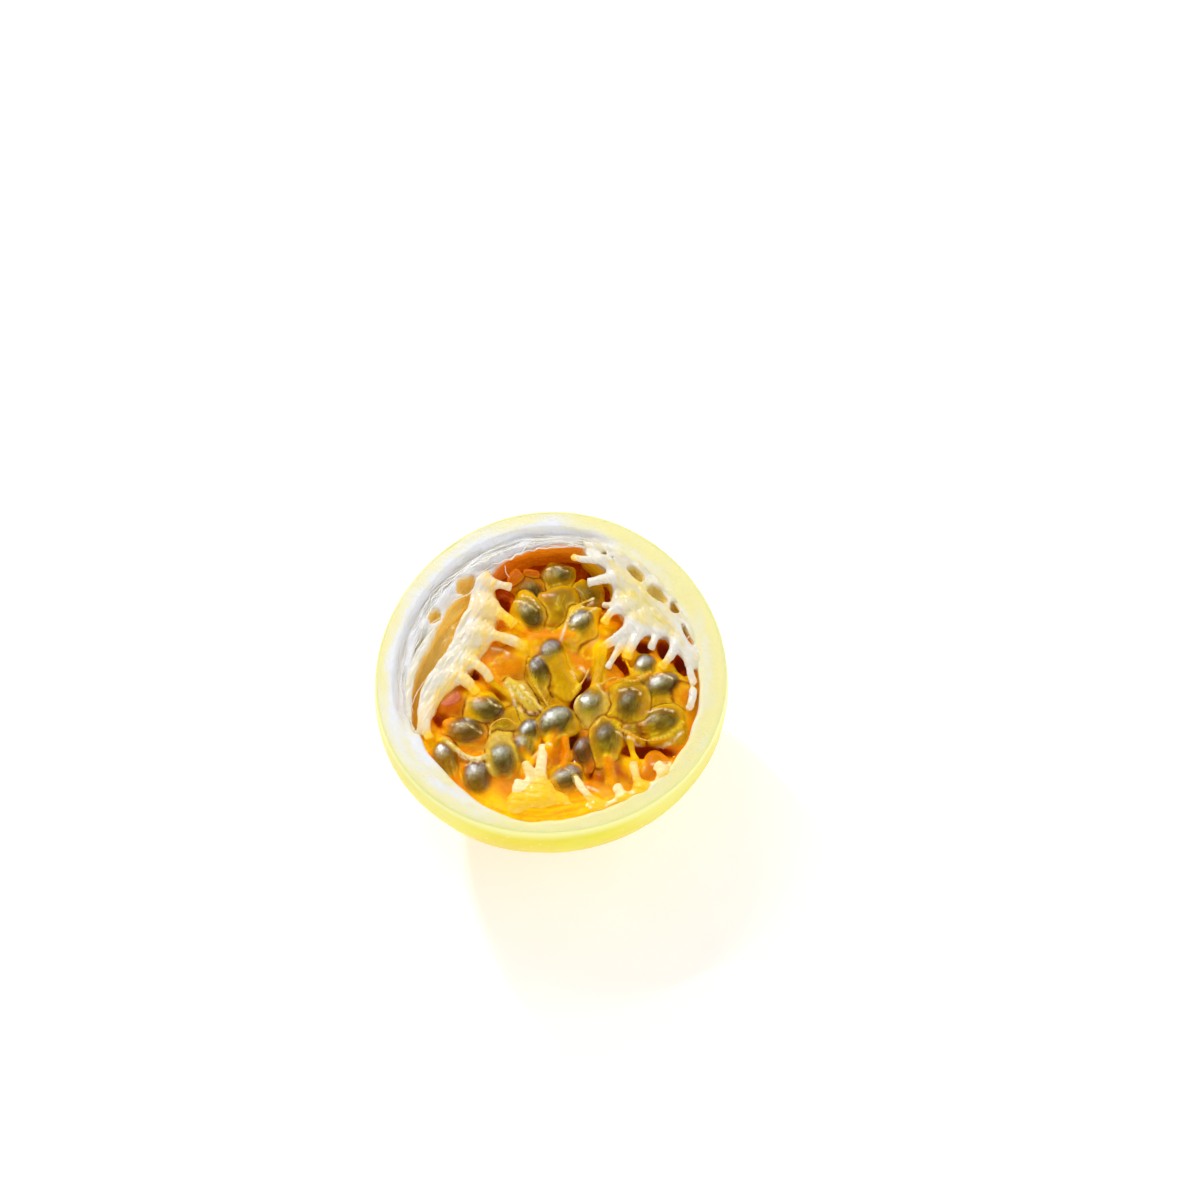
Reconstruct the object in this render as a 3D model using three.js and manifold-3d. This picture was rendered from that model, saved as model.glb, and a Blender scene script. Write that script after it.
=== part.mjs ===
// Half of a yellow passion fruit, cut across and lying on its round end with the cut face up.
//
// Millimetres, +Z up. The origin is on the floor under the middle of the fruit, and the cut face
// lies level at CUT_HEIGHT. Angles run from +X towards +Y. The fruit is a thick peel, three
// placentas that grow from its inner wall and carry finger-like stalks, and the pulp of juice
// sacs that fills what is left of the cavity.

import * as THREE from 'three';
import { mergeVertices } from 'three/addons/utils/BufferGeometryUtils.js';
import Module from 'manifold-3d';

const wasm = await Module();
wasm.setup();

// ---- Driving dimensions -------------------------------------------------------------------------

const WIDEST_RADIUS = 36;        // mean radius at the widest level
const WIDEST_DEPTH = 6.1;        // the widest level lies this far below the cut
const RIM_RADIUS = 35.5;         // mean radius at the cut
const DOME_DEPTH = 35.8;         // from the widest level to where the dome would end in a point
const FLAT_CUT = 0.4;            // the resting spot takes this much off the dome
const CUT_HEIGHT = WIDEST_DEPTH + DOME_DEPTH - FLAT_CUT;

const CAVITY_RADIUS = 29.8;      // mean radius of the cavity at the cut
const CAVITY_DEPTH = 34;         // cut face to the bottom of the cavity
const GAP = 0.3;                 // room kept between pieces that touch

const AROUND = 60;               // facets round the fruit
const OVERSHOOT = 4;             // how far a cutting solid stands past what it cuts
const MERGE_STEP = 1e-4;         // vertices closer than this are one

// Unevenness of the outer skin, as parts of the radius: slightly oval and slightly three-sided.
const SKIN_OVAL = { size: 0.0133, angle: 21 };
const SKIN_THREE_SIDED = { size: 0.0133, angle: 94 };

// Unevenness of the cavity wall, in millimetres.
const CAVITY_SHIFT = { size: 1.4, angle: 305 };
const CAVITY_THREE_SIDED = { size: 0.5, angle: 80 };
const SPONGY_BANK = { size: -4.6, angle: 140, spread: 30, fade: 40 };
const JUICE_LIP = { size: 2.7, angle: 257, spread: 22, fade: 2.2 };

// The strip of torn, sunken pith on the cut face.
const SUNKEN_PITH = { inner: 22, outer: 32.2, from: 62, to: 206, depth: 1.0 };

// Hollows in the pith between the placentas and the peel: middle, half widths, turn and depth.
const BANK_HOLLOWS = [
  { at: [-17.9, 20.3], half: [1.5, 2.1], turn: -35, depth: 7 },
  { at: [-24.4, 12.9], half: [1.2, 1.6], turn: -25, depth: 6 },
  { at: [-26.6, 7.4], half: [0.9, 1.6], turn: -20, depth: 4 },
];
const WEDGE_HOLLOWS = [
  { at: [11.6, 26.2], half: [1.5, 0.8], turn: -22, depth: 4 },
  { at: [17.3, 22.4], half: [2.0, 1.1], turn: -42, depth: 6 },
  { at: [21.7, 18.2], half: [2.2, 1.3], turn: -46, depth: 7 },
  { at: [25.2, 14.3], half: [1.5, 0.9], turn: -62, depth: 6 },
  { at: [28.0, 8.0], half: [1.6, 0.6], turn: -76, depth: 4 },
];

// Placentas. Each is the part of the cavity on the wall side of its edge, down to its depth.
const PLACENTA_DEPTH = 15;
const WEDGE_SINK = 0.5;          // tops lie this far below the cut
const STRIP_SINK = 0.3;
const FLOOR_SINK = 1.1;
const SLIT_DEPTH = 8;            // the long slit behind the left placenta is this deep

const WEDGE_EDGE = [[6.2, 29], [6.6, 26.6], [10.6, 23.6], [12.8, 19.6], [13.3, 15.6], [14.6, 12.2],
  [16.8, 9.7], [20.4, 8.7], [24.2, 7.2], [27.0, 3.6], [31, 0]];
const STRIP_INNER_EDGE = [[-11.0, 25.6], [-11.4, 20.6], [-12.4, 14.2], [-13.8, 9], [-16.0, 3.2],
  [-18.8, -1.6], [-22.0, -6.4], [-25.2, -11.6], [-28.6, -15.6]];
const STRIP_OUTER_EDGE = [[-28.6, -13.2], [-26.4, -9.2], [-24.0, -3.4], [-22.2, 3], [-20.2, 9.6],
  [-17.6, 14.8], [-15.0, 19.2], [-13.9, 22.6], [-13.4, 25.6]];
const FLOOR_EDGE = [[-25, -20], [-18, -23.6], [-9, -26.8], [0, -27.8], [9, -27], [17, -24],
  [23.4, -18.4], [30, -14]];

// Stalks that the seeds hung from: foot, tip, thickness at the foot, and depth of foot and tip.
const FINGER_SIDES = 6;
const WEDGE_FINGERS = [
  { foot: [11.6, 24.6], tip: [4.3, 25.7], width: 1.8, depths: [0.6, 0.9] },
  { foot: [13.6, 20.8], tip: [8.0, 20.2], width: 2.4, depths: [1.0, 0.8] },
  { foot: [14.4, 16.6], tip: [11.9, 11.8], width: 1.8, depths: [0.8, 0.9] },
  { foot: [16.8, 10.4], tip: [10.8, 5.2], width: 1.7, depths: [1.0, 0.9] },
  { foot: [17.4, 9.9], tip: [12.6, 2.2], width: 1.6, depths: [1.4, 1.2] },
  { foot: [19.2, 9.4], tip: [15.8, 3.0], width: 1.7, depths: [1.4, 1.2] },
  { foot: [21.6, 8.9], tip: [20.8, 4.8], width: 1.9, depths: [1.4, 1.8] },
  { foot: [25.4, 6.8], tip: [22.9, 1.9], width: 1.6, depths: [1.2, 1.4] },
];
const STRIP_FINGERS = [
  { foot: [-12.8, 18.9], tip: [-8.4, 19.2], width: 2.3, depths: [1.2, 1.6] },
  { foot: [-13.2, 13.4], tip: [-7.8, 10.3], width: 1.7, depths: [1.0, 1.2] },
  { foot: [-14.0, 9.2], tip: [-6.3, 5.9], width: 1.9, depths: [0.9, 1.0] },
  { foot: [-17.4, 2.6], tip: [-12.4, -1.9], width: 1.7, depths: [0.9, 1.0] },
  { foot: [-20.2, -1.6], tip: [-15.6, -3.8], width: 1.6, depths: [0.9, 1.1] },
];
const FLOOR_FINGERS = [
  { foot: [-7.9, -28.4], tip: [-6.2, -24.2], width: 1.9, depths: [1.9, 0.7] },
  { foot: [-3.2, -28.6], tip: [-3.9, -20.6], width: 1.6, depths: [1.9, 0.7] },
  { foot: [0.2, -28.6], tip: [-0.6, -18.0], width: 1.9, depths: [1.9, 0.7] },
  { foot: [9.8, -28.6], tip: [6.8, -25.3], width: 1.6, depths: [1.9, 0.8] },
  { foot: [19.6, -24.6], tip: [17.4, -20.2], width: 1.5, depths: [1.9, 0.8] },
  { foot: [24.4, -20.2], tip: [21.6, -19.4], width: 1.7, depths: [1.9, 0.7] },
];

// Pulp. The juice lies SHALLOW_JUICE below the cut at the low side and falls away to DEEP_JUICE
// in the chamber at the far side. Sacs stand up out of it: middle, radius, and depth of the crown.
const PULP_RINGS = 21;
const SHALLOW_JUICE = 1.1;
const DEEP_JUICE = 8.5;
const FALL_FROM = 3;             // where the fall starts, along Y
const FALL_LENGTH = 26;
const SACS = [
  { at: [-4.7, 19.8], radius: 3.3, crown: 3.2 },
  { at: [-4.7, 14.0], radius: 3.8, crown: 1.6 },
  { at: [1.4, 20.4], radius: 4.2, crown: 2.9 },
  { at: [1.8, 15.4], radius: 4.6, crown: 1.4 },
  { at: [6.8, 18.2], radius: 3.4, crown: 3.4 },
  { at: [5.8, 10.6], radius: 4.4, crown: 0.2 },
  { at: [-1.2, 3.6], radius: 4.8, crown: -0.5 },
  { at: [1.3, -2.9], radius: 4.4, crown: -0.6 },
  { at: [-5.4, -4.4], radius: 3.4, crown: -0.2 },
  { at: [-13.2, -7.9], radius: 3.9, crown: -0.3 },
  { at: [-17.1, -12.4], radius: 3.2, crown: 0.3 },
  { at: [-21.2, -18.2], radius: 3.4, crown: 0.2 },
  { at: [-14.7, -22.6], radius: 3.3, crown: 0.1 },
  { at: [-9.8, -16.6], radius: 4.4, crown: -0.7 },
  { at: [-4.9, -14.6], radius: 3.1, crown: 0.2 },
  { at: [0.9, -10.8], radius: 3.7, crown: -0.8 },
  { at: [8.0, -7.4], radius: 3.7, crown: -0.5 },
  { at: [11.3, -14.6], radius: 3.8, crown: -0.4 },
  { at: [6.8, -16.8], radius: 2.9, crown: 0.2 },
  { at: [3.1, -22.8], radius: 3.2, crown: 0.1 },
  { at: [16.0, -6.6], radius: 4.3, crown: -0.5 },
  { at: [22.5, -10.8], radius: 4.3, crown: -0.3 },
  { at: [19.0, 0.0], radius: 3.2, crown: 0.6 },
  { at: [23.4, -3.0], radius: 3.4, crown: 0.1 },
];

const PEEL_LOOK = { color: 0xf2d84a, roughness: 0.42, metalness: 0 };
const PLACENTA_LOOK = { color: 0xf4ead0, roughness: 0.5, metalness: 0 };
const PULP_LOOK = { color: 0xf09a12, roughness: 0.15, metalness: 0 };

// ---- Helpers ------------------------------------------------------------------------------------

const radians = THREE.MathUtils.degToRad;

// A whole number of waves round the fruit, strongest at wave.angle.
function waves(wave, count, angle) {
  return wave.size * Math.cos(count * (angle - radians(wave.angle)));
}

// A smooth swelling round wave.angle that dies away on both sides and with depth.
function swelling(wave, angle, depth) {
  const away = Math.atan2(Math.sin(angle - radians(wave.angle)), Math.cos(angle - radians(wave.angle)));
  return wave.size * Math.exp(-((away / radians(wave.spread)) ** 2)) * Math.exp(-Math.max(depth, 0) / wave.fade);
}

function solidFrom(geometry) {
  const bare = geometry.clone();
  bare.deleteAttribute('normal');
  bare.deleteAttribute('uv');
  const welded = mergeVertices(bare, MERGE_STEP);
  return new wasm.Manifold(new wasm.Mesh({
    numProp: 3,
    vertProperties: welded.attributes.position.array,
    triVerts: Uint32Array.from(welded.index.array),
  }));
}

function geometryFrom(solid) {
  const mesh = solid.getMesh();
  const geometry = new THREE.BufferGeometry();
  geometry.setAttribute('position', new THREE.BufferAttribute(Float32Array.from(mesh.vertProperties), 3));
  geometry.setIndex(new THREE.BufferAttribute(Uint32Array.from(mesh.triVerts), 1));
  return geometry;
}

// A turned solid of [radius, height] points whose vertices then go where place(point) puts them.
function turned(profile, place) {
  const points = profile.map(([radius, height]) => new THREE.Vector2(radius, height));
  const geometry = new THREE.LatheGeometry(points, AROUND);
  geometry.rotateX(Math.PI / 2);
  const position = geometry.attributes.position;
  const point = new THREE.Vector3();
  for (let i = 0; i < position.count; i += 1) {
    point.fromBufferAttribute(position, i);
    place(point);
    position.setXYZ(i, point.x, point.y, point.z);
  }
  return solidFrom(geometry);
}

// A solid standing over a closed outline, between two heights.
function column(shape, bottom, top) {
  const geometry = new THREE.ExtrudeGeometry(shape, { depth: top - bottom, bevelEnabled: false, steps: 1 });
  geometry.translate(0, 0, bottom);
  return solidFrom(geometry);
}

// ---- Peel ---------------------------------------------------------------------------------------

function skinFactor(angle) {
  return 1 + waves(SKIN_OVAL, 2, angle) + waves(SKIN_THREE_SIDED, 3, angle);
}

// The dome's profile, from the flat resting spot up to the rim and across the cut.
function domeProfile() {
  const below = 11;
  const above = 3;
  const profile = [[0, 0]];
  const lowest = Math.asin(1 - FLAT_CUT / DOME_DEPTH);
  for (let i = 0; i <= below; i += 1) {
    const turn = -lowest + lowest * (i / below);
    const height = CUT_HEIGHT - WIDEST_DEPTH + DOME_DEPTH * Math.sin(turn);
    profile.push([WIDEST_RADIUS * Math.cos(turn), i === 0 ? 0 : height]);
  }
  for (let i = 1; i <= above; i += 1) {
    const rise = i / above;
    const height = CUT_HEIGHT - WIDEST_DEPTH * (1 - rise);
    profile.push([WIDEST_RADIUS - (WIDEST_RADIUS - RIM_RADIUS) * rise ** 2, height]);
  }
  profile.push([0, CUT_HEIGHT]);
  return profile;
}

function dome() {
  return turned(domeProfile(), (point) => {
    const factor = skinFactor(Math.atan2(point.y, point.x));
    point.x *= factor;
    point.y *= factor;
  });
}

function cavityRadius(angle, depth) {
  const even = CAVITY_RADIUS + waves(CAVITY_SHIFT, 1, angle) + waves(CAVITY_THREE_SIDED, 3, angle);
  return even + swelling(SPONGY_BANK, angle, depth) + swelling(JUICE_LIP, angle, depth);
}

// The hollow of the fruit, or with a clearance the solid that fits inside it.
function cavity(clearance) {
  const steps = 9;
  const profile = [];
  for (let i = 0; i <= steps; i += 1) {
    const turn = (Math.PI / 2) * (i / steps);
    const depth = CAVITY_DEPTH * Math.cos(turn) ** 1.15;
    profile.push([i === 0 ? 0 : Math.sin(turn), CUT_HEIGHT - depth + (i === 0 ? clearance : 0)]);
  }
  profile.push([1, CUT_HEIGHT + OVERSHOOT]);
  profile.push([0, CUT_HEIGHT + OVERSHOOT]);
  return turned(profile, (point) => {
    const depth = CUT_HEIGHT - point.z;
    const reach = cavityRadius(Math.atan2(point.y, point.x), depth) - clearance;
    point.x *= reach;
    point.y *= reach;
    point.z += depth > 0 ? clearance * (depth / CAVITY_DEPTH) : 0;
  });
}

function sunkenPith() {
  const band = new THREE.Shape();
  const from = radians(SUNKEN_PITH.from);
  const to = radians(SUNKEN_PITH.to);
  band.absarc(0, 0, SUNKEN_PITH.outer, from, to, false);
  band.absarc(0, 0, SUNKEN_PITH.inner, to, from, true);
  band.closePath();
  return column(band, CUT_HEIGHT - SUNKEN_PITH.depth, CUT_HEIGHT + OVERSHOOT);
}

// An oval well with a rounded bottom.
function hollow({ at, half, turn, depth }) {
  const height = depth + OVERSHOOT;
  const profile = [[0, 0], [0.55, 0.3], [0.85, 0.45 * height], [1, height], [0, height]];
  const points = profile.map(([radius, level]) => new THREE.Vector2(radius, level));
  const geometry = new THREE.LatheGeometry(points, 10);
  geometry.rotateX(Math.PI / 2);
  geometry.scale(half[0], half[1], 1);
  geometry.rotateZ(radians(turn));
  geometry.translate(at[0], at[1], CUT_HEIGHT - depth);
  return solidFrom(geometry);
}

function peel() {
  let solid = dome().subtract(cavity(0)).subtract(sunkenPith());
  for (const well of BANK_HOLLOWS) {
    solid = solid.subtract(hollow(well));
  }
  return solid;
}

// ---- Placentas ----------------------------------------------------------------------------------

// Everything on the wall side of an edge, as a column. The edge runs round the fruit one way.
function behind(edge, bottom, top) {
  const shape = new THREE.Shape();
  const far = edge.map(([x, y]) => {
    const stretch = (RIM_RADIUS + OVERSHOOT) / Math.hypot(x, y);
    return new THREE.Vector2(x * stretch, y * stretch);
  });
  shape.moveTo(edge[0][0], edge[0][1]);
  shape.splineThru(edge.slice(1).map(([x, y]) => new THREE.Vector2(x, y)));
  far.reverse().forEach((corner) => shape.lineTo(corner.x, corner.y));
  shape.closePath();
  return columnOf(shape, bottom, top);
}

// A column whose outline is drawn with few points on each curve.
function columnOf(shape, bottom, top) {
  const points = shape.getPoints(2);
  return column(new THREE.Shape(points), bottom, top);
}

// A tapered, blunt stalk from its foot to its tip. Grow thickens it all round.
function finger({ foot, tip, width, depths }, grow) {
  const from = new THREE.Vector3(foot[0], foot[1], CUT_HEIGHT - depths[0]);
  const to = new THREE.Vector3(tip[0], tip[1], CUT_HEIGHT - depths[1]);
  const length = from.distanceTo(to) + grow;
  const thick = width / 2 + grow;
  const profile = [[0, 0], [thick, 0], [thick * 0.8, length * 0.4], [thick * 0.82, length * 0.82],
    [thick * 0.5, length * 0.98], [0, length]];
  const points = profile.map(([radius, height]) => new THREE.Vector2(radius, height));
  const geometry = new THREE.LatheGeometry(points, FINGER_SIDES);
  const direction = to.clone().sub(from).normalize();
  geometry.applyQuaternion(new THREE.Quaternion().setFromUnitVectors(new THREE.Vector3(0, 1, 0), direction));
  geometry.translate(from.x, from.y, from.z);
  return solidFrom(geometry);
}

function withFingers(body, fingers, grow) {
  let solid = body;
  for (const one of fingers) {
    solid = solid.add(finger(one, grow));
  }
  return solid;
}

function topWith(sink, grow) {
  return CUT_HEIGHT - sink + (grow > 0 ? OVERSHOOT : 0);
}

function upperRightPlacenta(grow) {
  let body = behind(WEDGE_EDGE, CUT_HEIGHT - PLACENTA_DEPTH - grow, topWith(WEDGE_SINK, grow));
  for (const well of grow > 0 ? [] : WEDGE_HOLLOWS) {
    body = body.subtract(hollow(well));
  }
  return withFingers(body, WEDGE_FINGERS, grow);
}

function upperLeftPlacenta(grow) {
  const floor = CUT_HEIGHT - PLACENTA_DEPTH - grow;
  const root = behind(STRIP_INNER_EDGE, floor, CUT_HEIGHT - SLIT_DEPTH);
  const blade = behind(STRIP_INNER_EDGE, CUT_HEIGHT - SLIT_DEPTH - GAP, topWith(STRIP_SINK, grow));
  const outer = STRIP_OUTER_EDGE.slice().reverse();
  const slit = behind(outer, CUT_HEIGHT - SLIT_DEPTH, CUT_HEIGHT + 2 * OVERSHOOT);
  const body = grow > 0 ? blade.add(root) : blade.subtract(slit).add(root);
  return withFingers(body, STRIP_FINGERS, grow);
}

function bottomPlacenta(grow) {
  const body = behind(FLOOR_EDGE, CUT_HEIGHT - PLACENTA_DEPTH - grow, topWith(FLOOR_SINK, grow));
  return withFingers(body, FLOOR_FINGERS, grow);
}

// ---- Pulp ---------------------------------------------------------------------------------------

function pulpDepth(x, y) {
  const fall = THREE.MathUtils.smoothstep(y, FALL_FROM, FALL_FROM + FALL_LENGTH);
  let depth = SHALLOW_JUICE + (DEEP_JUICE - SHALLOW_JUICE) * fall;
  for (const { at, radius, crown } of SACS) {
    const away = Math.hypot(x - at[0], y - at[1]) / radius;
    if (away < 1) {
      depth = Math.min(depth, crown + radius * 0.62 * (1 - Math.sqrt(1 - away * away)));
    }
  }
  return depth;
}

function pulp(room, placentas) {
  const reach = RIM_RADIUS;
  const crest = CUT_HEIGHT;
  const profile = [[0, 0], [reach, 0]];
  for (let ring = PULP_RINGS; ring > 0; ring -= 1) {
    profile.push([reach * (ring / PULP_RINGS), crest]);
  }
  profile.push([0, crest]);
  const block = turned(profile, (point) => {
    if (point.z > crest / 2) {
      point.z = CUT_HEIGHT - pulpDepth(point.x, point.y);
    }
  });
  let solid = block.intersect(room);
  for (const placenta of placentas) {
    solid = solid.subtract(placenta);
  }
  return solid;
}

// ---- Assembly -----------------------------------------------------------------------------------

function named(name, solid, look) {
  const mesh = new THREE.Mesh(geometryFrom(solid), new THREE.MeshStandardMaterial(look));
  mesh.name = name;
  return mesh;
}

const room = cavity(GAP);
const peelSolid = peel();
const makers = [
  ['placenta_upper_left', upperLeftPlacenta],
  ['placenta_upper_right', upperRightPlacenta],
  ['placenta_bottom', bottomPlacenta],
];

const group = new THREE.Group();
group.add(named('peel', peelSolid, PEEL_LOOK));
for (const [name, make] of makers) {
  group.add(named(name, make(0).intersect(room), PLACENTA_LOOK));
}
group.add(named('pulp', pulp(room, makers.map(([, make]) => make(GAP))), PULP_LOOK));

// The uneven outline is not quite centred on its own middle, so the fruit is moved over the origin.
const box = new THREE.Box3().setFromObject(group);
const middle = box.getCenter(new THREE.Vector3());
group.position.set(-middle.x, -middle.y, -box.min.z);
group.updateMatrixWorld(true);

export default group;
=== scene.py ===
"""Half of a yellow passion fruit, cut across and lying with its cut face up.

Sizes are millimetres in the fruit's own frame: x and y from the middle of the cut face, z up from
the cut, so that a depth below the cut is -z. FruitForm.to_row turns them into metres in the part's
frame. Angles run from +X towards +Y.
"""
import logging
import math
from dataclasses import dataclass
from enum import Enum
from itertools import product
from typing import Any, Callable, Sequence

import bmesh
import bpy
import numpy as np
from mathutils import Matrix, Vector, noise


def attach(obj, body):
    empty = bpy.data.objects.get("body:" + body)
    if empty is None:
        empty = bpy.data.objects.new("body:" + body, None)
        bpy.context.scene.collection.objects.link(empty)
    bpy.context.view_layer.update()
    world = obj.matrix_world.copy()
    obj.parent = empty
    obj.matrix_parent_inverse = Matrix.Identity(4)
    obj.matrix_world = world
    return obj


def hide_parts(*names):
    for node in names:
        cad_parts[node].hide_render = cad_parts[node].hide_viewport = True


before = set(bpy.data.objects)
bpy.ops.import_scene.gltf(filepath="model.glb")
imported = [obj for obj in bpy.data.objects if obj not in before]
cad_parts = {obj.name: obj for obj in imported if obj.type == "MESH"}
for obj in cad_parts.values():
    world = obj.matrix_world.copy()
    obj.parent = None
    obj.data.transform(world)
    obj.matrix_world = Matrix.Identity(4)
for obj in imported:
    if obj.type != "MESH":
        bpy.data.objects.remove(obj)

log = logging.getLogger("passion_fruit_half")

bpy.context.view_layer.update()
MM = 0.001
FAR = 60.0
Colour = tuple[float, float, float]
BLACK: Colour = (0.0, 0.0, 0.0)
MOST_TRIANGLES = 190000
SLIT_FLOOR = 4.4
SEED_SIZE = (5.7, 3.9, 2.5)
Array = np.ndarray
Piece = bpy.types.Object
Material = bpy.types.Material
Tree = bpy.types.NodeTree
Node = bpy.types.Node
Outline = Sequence[Sequence[float]]


# ---- Form --------------------------------------


def smoothstep(low: float, high: float, value: Array) -> Array:
    """Eases from 0 at low to 1 at high."""
    t = np.clip((value - low) / (high - low), 0.0, 1.0)
    return t * t * (3.0 - 2.0 * t)


def smooth_min(a: Array, b: Array, blend: float) -> Array:
    """The lower of two fields, with the crease between them rounded over blend.

    Args:
        a: one field.
        b: the other.
        blend: width of the rounding.

    Returns:
        The joined field.
    """
    if blend <= 0:
        return np.minimum(a, b)
    near = np.maximum(blend - np.abs(a - b), 0.0) / blend
    return np.minimum(a, b) - near * near * blend * 0.25


def smooth_max(a: Array, b: Array, blend: float) -> Array:
    """The higher of two fields, with the edge between them rounded over blend."""
    return -smooth_min(-a, -b, blend)


def turned(x: Array, y: Array, heading: float) -> tuple[Array, Array]:
    """How far each place lies along a heading in degrees, and how far to the left of it."""
    turn = math.radians(heading)
    return x * math.cos(turn) + y * math.sin(turn), y * math.cos(turn) - x * math.sin(turn)


@dataclass(frozen=True)
class Wave:
    """A swelling that comes back count times round the fruit.

    Args:
        size: how far it swells.
        angle: where it is strongest, in degrees.
        count: how many times it comes round.
    """

    size: float
    angle: float
    count: int

    def at(self, angle: Array) -> Array:
        """The swelling at an angle in radians."""
        return self.size * np.cos(self.count * (angle - math.radians(self.angle)))


@dataclass(frozen=True)
class Bulge:
    """A single swelling that dies away to both sides and with depth.

    Args:
        size: how far it swells at its middle, at the cut.
        angle: its middle, in degrees.
        spread: how wide it is, in degrees.
        fade: the depth over which it dies away.
    """

    size: float
    angle: float
    spread: float
    fade: float

    def at(self, angle: Array, depth: Array) -> Array:
        """The swelling at an angle in radians and a depth below the cut.

        Args:
            angle: direction in radians.
            depth: depth below the cut.

        Returns:
            The swelling.
        """
        turn = angle - math.radians(self.angle)
        away = np.arctan2(np.sin(turn), np.cos(turn)) / math.radians(self.spread)
        return self.size * np.exp(-away * away) * np.exp(-np.maximum(depth, 0.0) / self.fade)


@dataclass(frozen=True)
class FruitForm:
    """The outer skin and the cavity wall, which every piece is fitted to as FORM."""

    widest_radius: float = 36.0
    widest_depth: float = 6.1
    rim_radius: float = 35.5
    dome_depth: float = 35.8
    flat_cut: float = 0.4
    cavity_mean: float = 29.8
    cavity_depth: float = 34.0
    cavity_roundness: float = 1.15
    skin_waves: tuple[Wave, ...] = (Wave(0.0133, 21, 2), Wave(0.0133, 94, 3))
    cavity_waves: tuple[Wave, ...] = (Wave(1.4, 305, 1), Wave(0.5, 80, 3))
    spongy_bank: Bulge = Bulge(-4.6, 140, 30, 40)
    juice_lip: Bulge = Bulge(2.7, 257, 22, 2.2)

    @property
    def height(self) -> float:
        """Floor to cut face."""
        return self.widest_depth + self.dome_depth - self.flat_cut

    def skin_factor(self, angle: Array) -> Array:
        """How much wider the skin is than its mean at an angle."""
        return 1.0 + sum(wave.at(angle) for wave in self.skin_waves)

    def skin_radius(self, angle: Array, depth: Array) -> Array:
        """Radius of the outer skin.

        Args:
            angle: direction in radians.
            depth: depth below the cut.

        Returns:
            The radius in millimetres.
        """
        rise = 1.0 - np.clip(depth / self.widest_depth, 0.0, 1.0)
        above = self.widest_radius - (self.widest_radius - self.rim_radius) * rise**2
        fall = np.clip((depth - self.widest_depth) / self.dome_depth, 0.0, 1.0)
        return above * np.sqrt(1.0 - fall**2) * self.skin_factor(angle)

    def cavity_radius(self, angle: Array, depth: Array) -> Array:
        """Radius of the cavity wall.

        Args:
            angle: direction in radians.
            depth: depth below the cut.

        Returns:
            The radius in millimetres.
        """
        even = self.cavity_mean + sum(wave.at(angle) for wave in self.cavity_waves)
        mouth = even + self.spongy_bank.at(angle, depth) + self.juice_lip.at(angle, depth)
        cosine = np.clip(depth / self.cavity_depth, 0.0, 1.0) ** (1.0 / self.cavity_roundness)
        return mouth * np.sqrt(1.0 - cosine**2)

    def middle(self) -> Array:
        """Where the middle of the widest outline's box lies, which stands over the row's origin.

        Returns:
            Its x, y and z.
        """
        angle = np.linspace(0.0, 2.0 * math.pi, 720, endpoint=False)
        radius = self.widest_radius * self.skin_factor(angle)
        x, y = radius * np.cos(angle), radius * np.sin(angle)
        return np.array([(x.min() + x.max()) / 2, (y.min() + y.max()) / 2, -self.height])

    def to_row(self, points: Array) -> Array:
        """Points of the fruit's own frame in the row's frame, in metres."""
        return (np.asarray(points, dtype=float) - self.middle()) * MM


FORM = FruitForm()


# ---- Meshes ------------------------------------


def linked(name: str, data: Any) -> Piece:
    """A new object for some data, linked to the scene.

    Args:
        name: the object's name.
        data: its mesh, lamp or camera.

    Returns:
        The object.
    """
    piece = bpy.data.objects.new(name, data)
    bpy.context.scene.collection.objects.link(piece)
    return piece


def smooth(mesh: bpy.types.Mesh) -> None:
    """Shades all faces of a mesh smooth."""
    mesh.polygons.foreach_set("use_smooth", np.ones(len(mesh.polygons), dtype=bool))


def mesh_object(name: str, points: Array, faces: Array = (), edges: Sequence[Any] = ()) -> Piece:
    """A smooth mesh piece.

    Args:
        name: the piece's name.
        points: its vertices in the fruit's frame.
        faces: quads as an array of vertex numbers, or a list of polygons.
        edges: pairs of vertex numbers, for a piece without faces.

    Returns:
        The object, linked to the scene.
    """
    mesh = bpy.data.meshes.new(name)
    mesh.from_pydata(FORM.to_row(points).tolist(), edges, [list(map(int, face)) for face in faces])
    smooth(mesh)
    mesh.update()
    return linked(name, mesh)


def baked(piece: Piece, modifier: bpy.types.Modifier) -> Piece:
    """Keeps what a modifier makes of a piece as its plain, smooth mesh, without the modifier.

    Args:
        piece: the piece.
        modifier: its modifier.

    Returns:
        The same piece.
    """
    bpy.context.view_layer.update()
    finished = piece.evaluated_get(bpy.context.evaluated_depsgraph_get())
    mesh = bpy.data.meshes.new_from_object(finished)
    piece.modifiers.remove(modifier)
    piece.data = mesh
    mesh.name = piece.name
    smooth(mesh)
    return piece


def thin_out(piece: Piece, most: int) -> None:
    """Merges faces where a piece is plain until it has no more than a number of triangles.

    Args:
        piece: the piece.
        most: the most triangles it may have.
    """
    triangles = sum(len(face.vertices) - 2 for face in piece.data.polygons)
    if triangles > most:
        modifier = piece.modifiers.new("thin", "DECIMATE")
        modifier.ratio = most / triangles
        baked(piece, modifier)


def of_vertices(piece: Piece, name: str) -> Array:
    """A vector of each vertex, one row a vertex: "co" or "normal".

    Args:
        piece: the piece.
        name: which vector.

    Returns:
        The vectors, in metres for places.
    """
    flat = np.empty(len(piece.data.vertices) * 3)
    piece.data.vertices.foreach_get(name, flat)
    return flat.reshape(-1, 3)


def local_points(piece: Piece) -> Array:
    """A piece's vertices in the fruit's frame."""
    return of_vertices(piece, "co") / MM + FORM.middle()


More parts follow.
